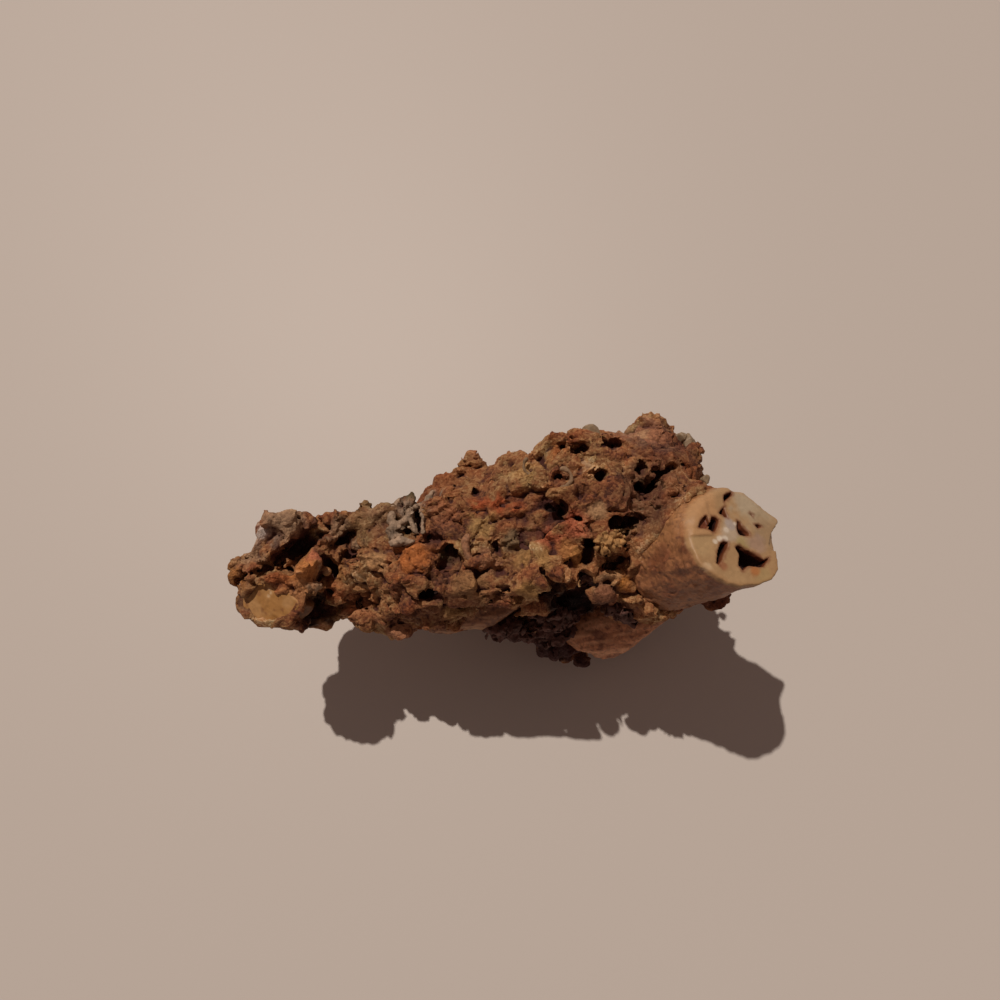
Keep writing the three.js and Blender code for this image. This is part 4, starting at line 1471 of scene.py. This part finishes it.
def upper_relief(points):
    """Waves, growth lines and a rough skin on the upper branch's wall."""
    across, up, _, along = upper_coordinates(points)
    lines = np.stack([across, up, along * 0.22], 1)
    relief = 0.30 * rough_noise(points, wave=5.0, seed=71, octaves=2)
    relief += 0.13 * rough_noise(lines, wave=1.1, seed=73)
    relief += 0.05 * rough_noise(points, wave=0.7, seed=76, octaves=2)
    random, _, border = nearest_crumbs(points, size=1.2, seed=78)
    foot = smooth_step(-5.0, -11.0, along)
    foot += 0.35 * smooth_step(0.1, 0.6, noise(points, wave=3.0, seed=79))
    relief += foot * (0.14 * random[:, 0] - 0.12 * (1 - smooth_step(0, 0.2, border)))
    return relief


def upper_field(pitch):
    """The upper branch: a slanting stub with a broken face that has slots and pits."""
    field, _ = node_fields("upper_branch", (), pitch, margin=1.2, reach=0)
    _, places = field.whole()
    field.values = in_chunks(upper_distance, places).reshape(field.shape)
    return field


def on_face(points, share):
    """Where each place is across and up in the upper branch's face, when it slides there by a share of
    the branch's slant, with a wobble."""
    across, up, out = FACE.coordinates(points)
    slant_across, slant_up = FACE.slide(UPPER_GROWS)
    wobble = 0.12 * rough_noise(points, wave=1.6, seed=81)
    return across - share * out * slant_across + wobble, up - share * out * slant_up + wobble


def raised_sector(across, up, start, end):
    """How much each place belongs to the face's raised north-west sector, from 0 to 1."""
    return smooth_step(-0.12, 0.12, up + 0.1 - 0.12 * across) * smooth_step(start, end, across)


def face_cavities(points):
    """How far each place is from the walls of the cavities in the face, negative inside them."""
    across, up = on_face(points, share=0.3)
    out = FACE.coordinates(points)[2]
    found = np.full(len(points), FAR, np.float32)
    for outline, depth in FACE_CAVITIES.values():
        edge = outline_distance(across, up, outline) + 0.08 * np.maximum(-out, 0)
        found = np.minimum(found, np.maximum(edge, -out - depth))
    return found


def upper_distance(points):
    """The distance to the upper branch's surface."""
    across, up, out, along = upper_coordinates(points)
    wall = upper_wall(*on_face(points, share=1.0), out)
    wall -= upper_relief(points) * smooth_step(0.3, -1.2, out)
    radius = 0.3 + 2.6 * smooth_step(2.0, 7.0, 0.7 * (up - across))
    sector = raised_sector(across, up, start=-2.6, end=-3.4)
    cap = out - 0.08 * rough_noise(points, wave=2.4, seed=84) - 0.2 * sector
    found = joined_hard(wall, cap, radius=radius)
    chip = outline_distance(across, up, CHIP)
    chipped = out + 0.25 + 0.5 * np.clip(across - 5.2, 0, 2)
    found = np.where(chip < 0.1, np.maximum(found, chipped), found)
    found = np.maximum(found, -face_cavities(points))
    return np.maximum(found, UPPER_FOOT - along).astype(np.float32)


def upper_colour(points, face_colour, wall_colour):
    """The upper branch's colour at each place: a waxy cream face and a stained, streaky wall, with painted
    light on the wall's north-west side, painted shade on its south side and deep in the face's cavities,
    and a painted highlight on the face. The fourth number is how strong the grain is."""
    across, up, out, along = upper_coordinates(points)
    lines = np.stack([across, up, along * 0.2], 1)
    streak = rough_noise(lines, wave=1.3, seed=91)
    patch = rough_noise(points, wave=3.0, seed=94)
    fine = rough_noise(points, wave=0.8, seed=97, octaves=2)
    wall = np.tile(wall_colour, (len(points), 1))
    wall = blend(wall, smooth_step(-0.1, 0.5, patch), WALL_BROWN)
    wall = blend(wall, smooth_step(0.1, 0.6, streak) * 0.6, WALL_ORANGE)
    # Painted light: the wall is painted paler gold on its north-west side, towards the lamp.
    wall = blend(wall, smooth_step(1.5, 6.5, up - 0.5 * across) * 0.55, WALL_GOLD_AND_PAINTED_LIGHT)
    # Painted shade: the wall's south side is painted darker mauve.
    wall = blend(wall, smooth_step(-1.5, -5.5, up) * 0.35, PAINTED_SHADE_MAUVE)
    wall = blend(wall, smooth_step(0.45, 0.75, fine + 0.4 * streak) * 0.6, WALL_DARK)
    face = np.tile(face_colour, (len(points), 1))
    wobble = 1 + 0.35 * rough_noise(points, wave=1.5, seed=101)
    for a, u, radius, colour, strength in FACE_TINTS:
        distance = np.hypot(across - a, up - u) * wobble
        face = blend(face, strength * (1 - smooth_step(0.5 * radius, 1.15 * radius, distance)), colour)
    sector = raised_sector(across, up, start=-1.2, end=-2.4)
    face = blend(face, 0.8 * sector, FACE_TAN)
    rim = outline_distance(across, up, FACE_OUTLINE)
    face = blend(face, smooth_step(-0.7, 0.0, rim) * 0.35, WALL_GOLD_AND_PAINTED_LIGHT)
    cavity = face_cavities(points)
    face = blend(face, (1 - smooth_step(0.0, 0.4, cavity + 0.15 * fine)) * 0.7, CAVITY_RUST)
    share = smooth_step(-0.9, -0.25, out + 0.25 * patch)
    colour = blend(wall, share, face)
    inside = smooth_step(0.3, 0.1, cavity) * smooth_step(-0.1, -0.3, out)
    colour = blend(colour, inside, CAVITY_RUST)
    # Painted shade: the cavities are painted darker the deeper they go.
    colour = blend(colour, inside * smooth_step(-0.45, -0.9, out + 0.2 * fine), CAVITY_PAINTED_SHADE)
    grain = 1 - 0.75 * share
    return np.concatenate([colour, grain[:, None]], 1).astype(np.float32)


def branch_material(name, grain_size, roughness, depth):
    """Stone whose colour is given for each place, with fine grain in it."""
    material, nodes, shader = new_material(name)
    where = nodes.where()
    grain = grain_of(nodes, size=grain_size, crystals=0.4)
    given = nodes.attribute("colour")
    tone = nodes.ramp(grain["Tone"], ((0.25, (0.7,) * 3), (0.75, (1.25,) * 3)))
    colour = nodes.mix(given["Alpha"], given["Color"], tone, "MULTIPLY")
    height = nodes.math("ADD", grain["Height"], nodes.noise(where, size=1.1)[0])
    height = nodes.math("MULTIPLY", height, nodes.spread(given["Alpha"], 0.0, 1.0, 0.25, 1.0))
    finish_surface(nodes, shader, colour, roughness, height, depth=depth)
    shader.inputs["Specular IOR Level"].default_value = 0.4
    return material


def build_branch(name, field, paint, material, slot):
    """Makes a branch from its field and colours it."""
    branch = field_object(name + "_stub", field)
    mesh = branch.data
    set_colour(mesh, "colour", in_chunks(paint, vertex_places(mesh)))
    smooth_shaded(mesh)
    mesh.materials.append(material)
    place_piece(branch, slot, name)


def build_upper_branch(settings):
    """Makes the upper branch, with its broken face."""
    field = upper_field(in_millimetres(settings.upper_detail))
    face, wall = tuple(settings.face), tuple(settings.wall)
    material = branch_material("Cream coral", grain_size=0.45, roughness=0.5, depth=0.05)
    paint = partial(upper_colour, face_colour=face, wall_colour=wall)
    build_branch("upper_branch", field, paint, material, "cream_coral")


def low_branch_field(name, form, pitch):
    """A branch's surface, with growth lines, waves, pits and its oblique breaks."""
    field, skins = node_fields(name, (name,), pitch, margin=1.5, reach=2.5)
    field.values = blurred(skins[name], width=7)
    for bulge in form.get("bulges", ()):
        add_lump(field, form["seed"], *bulge)
    part, places = field.whole()
    if "bulges" in form:
        field.cut(part, 0.1 - TIP.coordinates(places)[2])
    axis = np.array(form["grows"]) / np.linalg.norm(form["grows"])
    side = np.cross(axis, (0, 0, 1))
    side /= np.linalg.norm(side)
    turn = np.stack([side, np.cross(side, axis), 0.16 * axis], 1).astype(np.float32)
    seed = form["seed"]
    for break_at, faces in form.get("breaks", ()):
        facing = floats(faces)
        beyond = (places - floats(break_at)) @ (facing / np.linalg.norm(facing))
        beyond += 0.5 * chunked_noise(places, wave=3.0, seed=seed + 12)
        beyond = beyond.reshape(field.shape)
        field.values = joined_hard(field.values, beyond, radius=1.2).astype(np.float32)

    def relief(points):
        lines = points @ turn
        waves = 0.20 * rough_noise(points, wave=4.0, seed=seed, octaves=2)
        growth = 0.19 * rough_noise(lines, wave=1.0, seed=seed + 3)
        skin = 0.04 * rough_noise(points, wave=0.6, seed=seed + 6, octaves=2)
        return form["rough"] * (waves + growth + skin)

    def pit(points):
        share = 0.14 * form["rough"]
        return pit_distance(points, spacing=1.9, share=share, least=0.12, most=0.34, seed=seed + 9)

    field.roughen(reach=1.4, follow=0.9, relief=relief, pit=pit)
    return field, turn


def low_branch_colour(points, turn, form):
    """A low branch's colour: streaks along its growth, with patches of stain."""
    seed = form["seed"]
    streak = rough_noise(points @ turn, wave=1.2, seed=seed + 20)
    patch = rough_noise(points, wave=2.6, seed=seed + 24)
    fine = rough_noise(points, wave=0.7, seed=seed + 27, octaves=2)
    colour = np.tile(form["colour"], (len(points), 1))
    colour = blend(colour, smooth_step(-0.1, 0.5, streak), form["streaks"])
    colour = blend(colour, smooth_step(0.2, 0.7, patch) * 0.6, form["stain"])
    colour = blend(colour, smooth_step(0.25, 0.6, fine - 0.4 * streak) * 0.65, form["stain"])
    return np.concatenate([colour, np.ones((len(points), 1))], 1).astype(np.float32)


def tip_colour(points, turn, form):
    """The tip branch's colour: a smooth ochre face with painted highlights, and a stained wall."""
    colour = low_branch_colour(points, turn, form)
    face = smooth_step(-0.7, -0.25, TIP.coordinates(points)[2])[:, None]
    patch = rough_noise(points, wave=2.2, seed=208, octaves=2)
    fine = rough_noise(points, wave=0.9, seed=209, octaves=2)
    bare = np.tile(form["colour"], (len(points), 1))
    bare = blend(bare, smooth_step(-0.3, 0.5, patch), form["streaks"])
    bare = blend(bare, 0.5 * smooth_step(0.35, 0.7, fine), form["stain"])
    wall = 0.2 * colour[:, :3] + 0.5 * np.array(form["stain"])
    colour[:, :3] = wall + (bare - wall) * face
    # Painted highlights: each glint paints the face paler.
    for glint in TIP_GLINTS:
        distance = lengths(points - floats(glint))
        distance *= 1 + 0.6 * rough_noise(points, wave=0.7, seed=207, octaves=2)
        share = 0.8 - 0.8 * smooth_step(0.12, 0.34, distance)
        colour[:, :3] = blend(colour[:, :3], share, TIP_GLINT_COLOUR)
    colour[:, 3] = 1 - 0.75 * face[:, 0]
    return colour


def build_low_branches(settings):
    """Makes the lower, side and tip branches."""
    pitch = in_millimetres(settings.low_detail)
    material = branch_material("Tan coral", grain_size=0.4, roughness=0.6, depth=0.05)
    for name, form in LOW_BRANCHES.items():
        field, turn = low_branch_field(name, form, pitch)
        colour = tip_colour if name == "tip_branch" else low_branch_colour
        build_branch(name, field, partial(colour, turn=turn, form=form), material, form["slot"])


# ---------------------------------------------------------------- encrusting animals and scraps

# Tubes that lie on the crust: [x, y, z, radius of the ring, radius of the tube, degrees it starts at,
# degrees it runs].
TUBES = [
    [9.6, 3.6, 34.5, 1.25, 0.27, -85, 175],
    [5.8, 6.6, 31.6, 1.3, 0.24, 130, 150],
    [-0.3, -4.6, 31.8, 3.0, 0.5, 160, 92],
]
TUBE_COLOURS = [(0.27, 0.175, 0.10), (0.24, 0.16, 0.09), (0.36, 0.18, 0.095)]

# Openwork scraps: the middle and radii of the space they fill, the size of their openings and how
# thick their strands are.
LACE = [
    {"middle": (6.4, -13.0, 13.8), "radii": (4.8, 1.9, 3.4), "opening": 1.6, "strand": 0.36, "seed": 301},
    {"middle": (8.2, -12.0, 19.2), "radii": (3.0, 1.8, 3.6), "opening": 1.8, "strand": 0.32, "seed": 302},
    {"middle": (18.6, -12.4, 22.8), "radii": (2.6, 1.2, 2.2), "opening": 1.3, "strand": 0.32, "seed": 303},
    {"middle": (1.2, -12.9, 16.6), "radii": (3.3, 1.7, 2.4), "opening": 1.4, "strand": 0.34, "seed": 304},
]

# The pale net on the west rim: where each of its strands runs, as [x, y, z, radius] places.
NET = [
    [(-14.0, 0.8, 29.3, 0.48), (-13.9, -1.4, 29.0, 0.54), (-13.4, -3.6, 29.8, 0.46)],
    [(-13.2, 3.3, 27.9, 0.34), (-13.8, 1.9, 28.8, 0.36), (-14.0, 0.8, 29.3, 0.44)],
    [
        (-13.9, -1.4, 29.0, 0.52),
        (-13.2, -0.8, 29.1, 0.54),
        (-12.5, -0.3, 29.0, 0.50),
        (-11.6, 0.8, 28.8, 0.44),
    ],
    [(-11.6, 0.8, 28.8, 0.42), (-11.9, 2.6, 28.2, 0.44), (-12.3, 3.6, 27.5, 0.38)],
    [(-11.8, 2.2, 28.3, 0.40), (-10.5, 2.2, 28.8, 0.40), (-9.0, 2.4, 29.5, 0.42)],
    [(-9.0, 2.4, 29.5, 0.42), (-8.6, 4.2, 28.4, 0.40)],
    [(-9.2, 2.0, 29.6, 0.32), (-9.6, 0.4, 29.8, 0.28), (-9.3, -2.1, 30.5, 0.28)],
    [(-13.4, -3.6, 29.8, 0.46), (-12.2, -3.3, 30.0, 0.60), (-10.9, -3.6, 30.5, 0.40)],
    [(-13.4, -2.1, 29.0, 0.44), (-12.5, -2.7, 29.3, 0.55), (-12.2, -3.3, 29.9, 0.55)],
    [(-11.5, 0.6, 28.7, 0.30), (-10.9, -0.9, 29.1, 0.30), (-10.4, -2.0, 29.9, 0.42)],
]
ROSETTE = {"middle": (15.5, -5.2, 33.9), "radii": (2.8, 2.3, 1.6), "seed": 305}

# Clear calcite on the rim: [x, y, z, radius east, radius north, radius up], and the seed.
CRYSTALS = [
    [(27.4, 13.1, 25.4, 1.0, 0.9, 0.9), 21],
    [(28.3, 12.4, 25.4, 1.0, 1.1, 0.8), 22],
    [(28.7, 11.2, 25.5, 0.8, 1.0, 0.7), 23],
    [(14.3, 14.5, 25.2, 1.3, 1.0, 0.9), 24],
    [(29.9, 5.9, 26.9, 0.7, 0.6, 0.5), 25],
    [(2.9, 11.0, 24.8, 1.0, 0.7, 0.6), 26],
]


def space_field(middle, radii, pitch):
    """An empty field round an ellipsoid, the places in it, and how far each is from the ellipsoid."""
    middle = floats(middle)
    radii = floats(radii)
    field = Field(middle - radii - 1, middle + radii + 1, pitch)
    _, places = field.whole()
    within = (lengths((places - middle) / radii) - 1) * radii.min()
    return field, places, within


def surface_of(field, values):
    """The surface of a field that has one value for each of its places."""
    field.values = values.reshape(field.shape).astype(np.float32)
    return field.surface()


def chunk_surface(form, seed, pitch):
    """An angular chunk that stands by itself."""
    middle, radii = floats(form[:3]), floats(form[3:])
    field, places, _ = space_field(middle, radii, pitch)
    away = (places - middle) / radii
    reach = angular(away, seed, facets=11, ball=0.85, flat=1.22)
    rough = 0.07 * rough_noise(places, wave=1.3, seed=seed)
    return surface_of(field, (reach - 1) * radii.min() + rough)


def strands(points, opening, strand, seed):
    """The distance to a net of strands: the lines where the walls of two sets of cells cross."""
    shift = [rough_noise(points, wave=1.6, seed=seed + 3 * axis, octaves=2) for axis in range(3)]
    bent = points + 0.7 * np.stack(shift, 1)
    first = nearest_crumbs(bent, size=opening, seed=seed + 10)[2]
    second = nearest_crumbs(bent, size=opening * 1.15, seed=seed + 11)[2]
    return np.maximum(first - strand, second - 1.6 * strand) * 0.7


def tube_surface(form, pitch):
    """Part of a ring of tube, lying square to the way that the hollows open."""
    x, y, z, ring, tube, start, run = form
    turns = np.radians(np.linspace(start, start + run, 40))
    axis = np.array(HOLLOW_AXIS) / np.linalg.norm(HOLLOW_AXIS)
    east = np.cross((0, 1, 0), axis)
    east /= np.linalg.norm(east)
    north = np.cross(axis, east)
    path = np.array((x, y, z)) + ring * (np.outer(np.cos(turns), east) + np.outer(np.sin(turns), north))
    field, places, _ = space_field((x, y, z), (ring + tube,) * 3, pitch)
    found = np.full(len(places), FAR, np.float32)
    for place in path:
        found = np.minimum(found, lengths(places - place) - tube)
    return surface_of(field, found + 0.16 * rough_noise(places, wave=0.9, seed=320, octaves=2))


def net_surface(pitch):
    """Thick strands that cross on the crust and join where they meet."""
    places = np.array([place for strand in NET for place in strand])
    middle = (places.min(0) + places.max(0))[:3] / 2
    field, points, _ = space_field(middle, (places.max(0) - places.min(0))[:3] / 2 + 0.8, pitch)
    found = np.full(len(points), FAR, np.float32)
    for strand in NET:
        for start, end in zip(np.array(strand[:-1]), np.array(strand[1:])):
            run = end - start
            share = np.clip((points - start[:3]) @ run[:3] / (run[:3] @ run[:3]), 0, 1)
            away = lengths(points - start[:3] - share[:, None] * run[:3])
            found = -joined_hard(-found, start[3] + share * run[3] - away, radius=0.25)
    return surface_of(field, found + 0.34 * chunked_noise(points, wave=0.95, seed=306))


def rosette_surface(pitch):
    """A cushion of granules in lobes."""
    field, places, within = space_field(ROSETTE["middle"], ROSETTE["radii"], pitch)
    border = in_chunks(lambda part: nearest_crumbs(part, size=0.95, seed=ROSETTE["seed"])[2], places)
    lobes = in_chunks(lambda part: nearest_crumbs(part, size=1.9, seed=ROSETTE["seed"] + 1)[2], places)
    grooves = 0.34 * (1 - smooth_step(0, 0.35, border)) + 0.5 * (1 - smooth_step(0, 0.4, lobes))
    return surface_of(field, within + 0.3 + grooves)


def lace_surface(form, pitch):
    """An openwork scrap."""
    field, places, within = space_field(form["middle"], form["radii"], pitch)
    net = in_chunks(lambda part: strands(part, form["opening"], form["strand"], form["seed"]), places)
    within += 0.8 * rough_noise(places, wave=2.0, seed=form["seed"] + 5, octaves=2)
    return surface_of(field, np.maximum(net, within))


def joined_bodies(name, bodies):
    """A new object made of closed bodies, each with its places and faces, and all of its places."""
    counts = np.cumsum([0] + [len(places) for places, _ in bodies])
    places = np.concatenate([places for places, _ in bodies])
    faces = np.concatenate([faces + count for (_, faces), count in zip(bodies, counts)])
    return new_object(name, triangle_mesh(name, places, faces)), places


def finish_bodies(made, material, sharpest=180):
    """Shades bodies that sit on the crust, gives them their material and places them."""
    smooth_shaded(made.data, sharpest)
    made.data.materials.append(material)
    place_piece(made, "stained_crust")


def build_bodies(name, parts, material, vary=0.4):
    """Makes a piece of closed bodies, each with its colour, which varies by a share."""
    made, places = joined_bodies(name, [body for body, _ in parts])
    colours = np.concatenate([np.tile((*colour, 1), (len(body[0]), 1)) for body, colour in parts])
    tone = 1 + vary * chunked_noise(places.astype(np.float32), wave=1.2, seed=340)
    colours[:, :3] *= tone[:, None]
    set_colour(made.data, "colour", colours)
    finish_bodies(made, material)


def build_encrusters(settings):
    """Makes the net, the rosette, the worm tubes and the openwork scraps."""
    pitch = in_millimetres(settings.detail)
    material = branch_material("Encrusting stone", grain_size=0.3, roughness=0.75, depth=0.06)
    scraps = [(lace_surface(form, pitch), settings.openwork) for form in LACE]
    build_bodies("openwork_scraps", scraps, material)
    build_bodies("net", [(net_surface(pitch), settings.net)], material, vary=0.55)
    build_bodies("rosette", [(rosette_surface(pitch), settings.rosette)], material)
    tubes = [(tube_surface(form, pitch), colour) for form, colour in zip(TUBES, TUBE_COLOURS)]
    build_bodies("worm_tubes", tubes, material)


def build_crystals(settings):
    """Makes the clear crystals on the crust's rim, of cloudy calcite that light passes through."""
    pitch = in_millimetres(settings.detail)
    material, nodes, shader = new_material("Clear calcite")
    veil = nodes.noise(nodes.where(), size=0.7)[0]
    dull, bright = (tuple(share * part for part in settings.calcite) for share in (0.78, 1.2))
    colour = nodes.ramp(veil, ((0.35, dull), (0.65, bright)))
    finish_surface(nodes, shader, colour, nodes.spread(veil, 0.3, 0.7, 0.55, 0.35), veil, depth=0.04)
    shader.inputs["IOR"].default_value = 1.5
    shader.inputs["Transmission Weight"].default_value = 0.35
    chunks = [chunk_surface(form, seed, pitch) for form, seed in CRYSTALS]
    crystals, _ = joined_bodies("rim_crystals", chunks)
    finish_bodies(crystals, material, sharpest=30)


# ---------------------------------------------------------------- the stage

CAMERA_PLACE = (7.60, -32.97, 126.93)
CAMERA_RIGHT = (0.9978, 0.0, -0.0663)
CAMERA_UP = (0.0227, 0.9398, 0.3409)
FLOOR_REACH = 3.0  # metres
FLOOR_DROP = 0.02  # millimetres, so that the floor and the flat don't flicker


def build_stage(settings):
    """Makes the table, the lamp, the room's light and the camera."""
    scene = bpy.context.scene
    scene.view_settings.view_transform = "Standard"
    mesh = bpy.data.meshes.new("floor")
    corners = [(x * FLOOR_REACH, y * FLOOR_REACH) for x, y in ((-1, -1), (1, -1), (1, 1), (-1, 1))]
    mesh.from_pydata([(x, y, -FLOOR_DROP * MM) for x, y in corners], [], [(0, 1, 2, 3)])
    floor = new_object("floor", mesh)
    material, _, shader = new_material("Pale table")
    shader.inputs["Base Color"].default_value = (*settings.floor, 1)
    shader.inputs["Roughness"].default_value = 0.55
    mesh.materials.append(material)

    lamp_data = bpy.data.lights.new("key", "SUN")
    lamp_data.energy = settings.lamp_strength
    lamp_data.angle = settings.lamp_angle
    lamp_data.color = settings.lamp
    lamp = new_object("key", lamp_data)
    lamp.rotation_mode = "QUATERNION"
    lamp.rotation_quaternion = Vector(LAMP_FROM).to_track_quat("Z", "Y")

    world = bpy.data.worlds.new("room")
    scene.world = world
    world.use_nodes = True
    background = world.node_tree.nodes["Background"]
    background.inputs["Color"].default_value = (*settings.room, 1)
    background.inputs["Strength"].default_value = settings.room_strength

    camera_data = bpy.data.cameras.new("camera")
    camera_data.sensor_width = 36
    camera_data.lens = settings.lens
    camera_data.clip_start = 0.001
    camera = new_object("camera", camera_data)
    right = Vector(CAMERA_RIGHT).normalized()
    up = Vector(CAMERA_UP).normalized()
    rotation = Matrix((right, up, right.cross(up))).transposed()
    camera.matrix_world = Matrix.Translation(Vector(CAMERA_PLACE) * MM) @ rotation.to_4x4()
    scene.camera = camera


# ---------------------------------------------------------------- settings

# What the settings of one kind have in common.
COLOUR = {"min": 0.0, "max": 1.0, "subtype": "COLOR"}
DETAIL = {"min": 0.0001, "unit": "LENGTH", "precision": 6}
SIZES = {"size": 2, "min": 0.0, "unit": "LENGTH", "precision": 6}


class CrustSettings(bpy.types.PropertyGroup):
    """The sizes and colours of the crust and of the crumbs on it."""

    detail: FloatProperty(
        name="Detail",
        description="The spacing of the points that the crust's surface is worked out on",
        default=0.00025,
        **DETAIL,
    )
    relief: FloatProperty(
        name="Relief",
        description="How strongly the slabs, crevices and ridges stand out",
        default=1.0,
        min=0.0,
        subtype="FACTOR",
    )
    # This colour also serves as the painted shade that darkens the crust's hollows.
    stain: FloatVectorProperty(
        name="Stain and painted shade",
        description="The iron and manganese stain in the hollows",
        default=PURPLE_BROWN,
        **COLOUR,
    )
    crumb_density: FloatProperty(
        name="Crumb density",
        description="How many crumbs lie on each square metre of the crust",
        default=80000.0,
        min=0.0,
    )
    crumb_sizes: FloatVectorProperty(
        name="Crumb sizes",
        description="The smallest and the largest crumb",
        default=(0.00035, 0.0008),
        **SIZES,
    )
    grain_density: FloatProperty(
        name="Grain density",
        description="How many grains lie on each square metre of the crust",
        default=300000.0,
        min=0.0,
    )
    grain_sizes: FloatVectorProperty(
        name="Grain sizes",
        description="The smallest and the largest grain",
        default=(0.0002, 0.00042),
        **SIZES,
    )


class BranchSettings(bpy.types.PropertyGroup):
    """The sizes and colours of the four branches."""

    upper_detail: FloatProperty(
        name="Upper detail",
        description="The spacing of the points that the upper branch's surface is worked out on",
        default=0.00016,
        **DETAIL,
    )
    low_detail: FloatProperty(
        name="Low detail",
        description="The spacing of the points that the low branches' surfaces are worked out on",
        default=0.0002,
        **DETAIL,
    )
    face: FloatVectorProperty(
        name="Face", description="The waxy broken face of the upper branch", default=FACE_CREAM, **COLOUR
    )
    wall: FloatVectorProperty(
        name="Wall", description="The stained wall of the upper branch", default=WALL_TAN, **COLOUR
    )


class EncrusterSettings(bpy.types.PropertyGroup):
    """The sizes and colours of what grows on the crust, and of its crystals."""

    detail: FloatProperty(
        name="Detail",
        description="The spacing of the points that these surfaces are worked out on",
        default=0.00014,
        **DETAIL,
    )
    net: FloatVectorProperty(
        name="Net", description="The pale net on the west rim", default=(0.285, 0.205, 0.14), **COLOUR
    )
    rosette: FloatVectorProperty(
        name="Rosette",
        description="The granular cushion above the recess",
        default=(0.40, 0.22, 0.08),
        **COLOUR,
    )
    openwork: FloatVectorProperty(
        name="Openwork",
        description="The dark openwork scraps under the rim",
        default=(0.105, 0.045, 0.034),
        **COLOUR,
    )
    calcite: FloatVectorProperty(
        name="Calcite",
        description="The clear crystals on the north rim",
        default=(0.42, 0.31, 0.19),
        **COLOUR,
    )


class StageSettings(bpy.types.PropertyGroup):
    """The table, the lamp, the room's light and the camera."""

    floor: FloatVectorProperty(
        name="Table", description="The pale table", default=(0.575, 0.55, 0.515), **COLOUR
    )
    lamp_strength: FloatProperty(
        name="Lamp strength", description="The lamp's light on each square metre", default=2.35, min=0.0
    )
    lamp_angle: FloatProperty(
        name="Lamp width",
        description="How wide the lamp looks, which softens the shadow's edge",
        default=math.radians(0.9),
        min=0.0,
        subtype="ANGLE",
    )
    lamp: FloatVectorProperty(
        name="Lamp colour", description="The lamp's warm light", default=(1.0, 0.86, 0.76), **COLOUR
    )
    room: FloatVectorProperty(
        name="Room colour",
        description="The light that comes from all round",
        default=(1.0, 0.68, 0.58),
        **COLOUR,
    )
    room_strength: FloatProperty(
        name="Room strength", description="How strong the light from all round is", default=0.16, min=0.0
    )
    lens: FloatProperty(
        name="Lens", description="The camera's focal length in millimetres", default=27.07, min=1.0
    )


# ---------------------------------------------------------------- operators and panel


class CORAL_OT_crust(bpy.types.Operator):
    """Makes the knobbly crust"""

    bl_idname = "coral.crust"
    bl_label = "Crust"

    def execute(self, context):
        build_crust(context.scene.coral_crust)
        return {"FINISHED"}


class CORAL_OT_crumbs(bpy.types.Operator):
    """Scatters crumbs and grains on the crust"""

    bl_idname = "coral.crumbs"
    bl_label = "Crumbs and grains"

    def execute(self, context):
        build_crumbs(context.scene.coral_crust)
        return {"FINISHED"}


class CORAL_OT_upper_branch(bpy.types.Operator):
    """Makes the upper branch with its broken face"""

    bl_idname = "coral.upper_branch"
    bl_label = "Upper branch"

    def execute(self, context):
        build_upper_branch(context.scene.coral_branches)
        return {"FINISHED"}


class CORAL_OT_low_branches(bpy.types.Operator):
    """Makes the lower, side and tip branches"""

    bl_idname = "coral.low_branches"
    bl_label = "Low branches"

    def execute(self, context):
        build_low_branches(context.scene.coral_branches)
        return {"FINISHED"}


class CORAL_OT_encrusters(bpy.types.Operator):
    """Makes the net, the rosette, the worm tubes and the openwork scraps"""

    bl_idname = "coral.encrusters"
    bl_label = "Encrusting animals"

    def execute(self, context):
        build_encrusters(context.scene.coral_encrusters)
        return {"FINISHED"}


class CORAL_OT_crystals(bpy.types.Operator):
    """Makes the clear crystals on the rim"""

    bl_idname = "coral.crystals"
    bl_label = "Rim crystals"

    def execute(self, context):
        build_crystals(context.scene.coral_encrusters)
        return {"FINISHED"}


class CORAL_OT_stage(bpy.types.Operator):
    """Makes the table, the lamp, the room's light and the camera"""

    bl_idname = "coral.stage"
    bl_label = "Stage"

    def execute(self, context):
        build_stage(context.scene.coral_stage)
        return {"FINISHED"}


# Each group of settings by its name in the scene, with the operators that use it.
SECTIONS = {
    "coral_crust": (CrustSettings, (CORAL_OT_crust, CORAL_OT_crumbs)),
    "coral_branches": (BranchSettings, (CORAL_OT_upper_branch, CORAL_OT_low_branches)),
    "coral_encrusters": (EncrusterSettings, (CORAL_OT_encrusters, CORAL_OT_crystals)),
    "coral_stage": (StageSettings, (CORAL_OT_stage,)),
}


class CORAL_PT_specimen(bpy.types.Panel):
    """Lists the specimen's pieces with their settings"""

    bl_idname = "CORAL_PT_specimen"
    bl_label = "Fossil coral"
    bl_space_type = "VIEW_3D"
    bl_region_type = "UI"
    bl_category = "Fossil coral"

    def draw(self, context):
        for name, (group, operators) in SECTIONS.items():
            box = self.layout.box()
            for setting in group.__annotations__:
                box.prop(getattr(context.scene, name), setting)
            for operator in operators:
                box.operator(operator.bl_idname)


def register():
    for name, (group, operators) in SECTIONS.items():
        bpy.utils.register_class(group)
        setattr(bpy.types.Scene, name, PointerProperty(type=group))
        for operator in operators:
            bpy.utils.register_class(operator)
    bpy.utils.register_class(CORAL_PT_specimen)


def unregister():
    bpy.utils.unregister_class(CORAL_PT_specimen)
    for name, (group, operators) in reversed(SECTIONS.items()):
        for operator in reversed(operators):
            bpy.utils.unregister_class(operator)
        delattr(bpy.types.Scene, name)
        bpy.utils.unregister_class(group)


def main():
    register()
    bpy.ops.coral.crust()
    bpy.ops.coral.crumbs()
    bpy.ops.coral.upper_branch()
    bpy.ops.coral.low_branches()
    bpy.ops.coral.encrusters()
    bpy.ops.coral.crystals()
    bpy.ops.coral.stage()


if __name__ == "__main__":
    main()
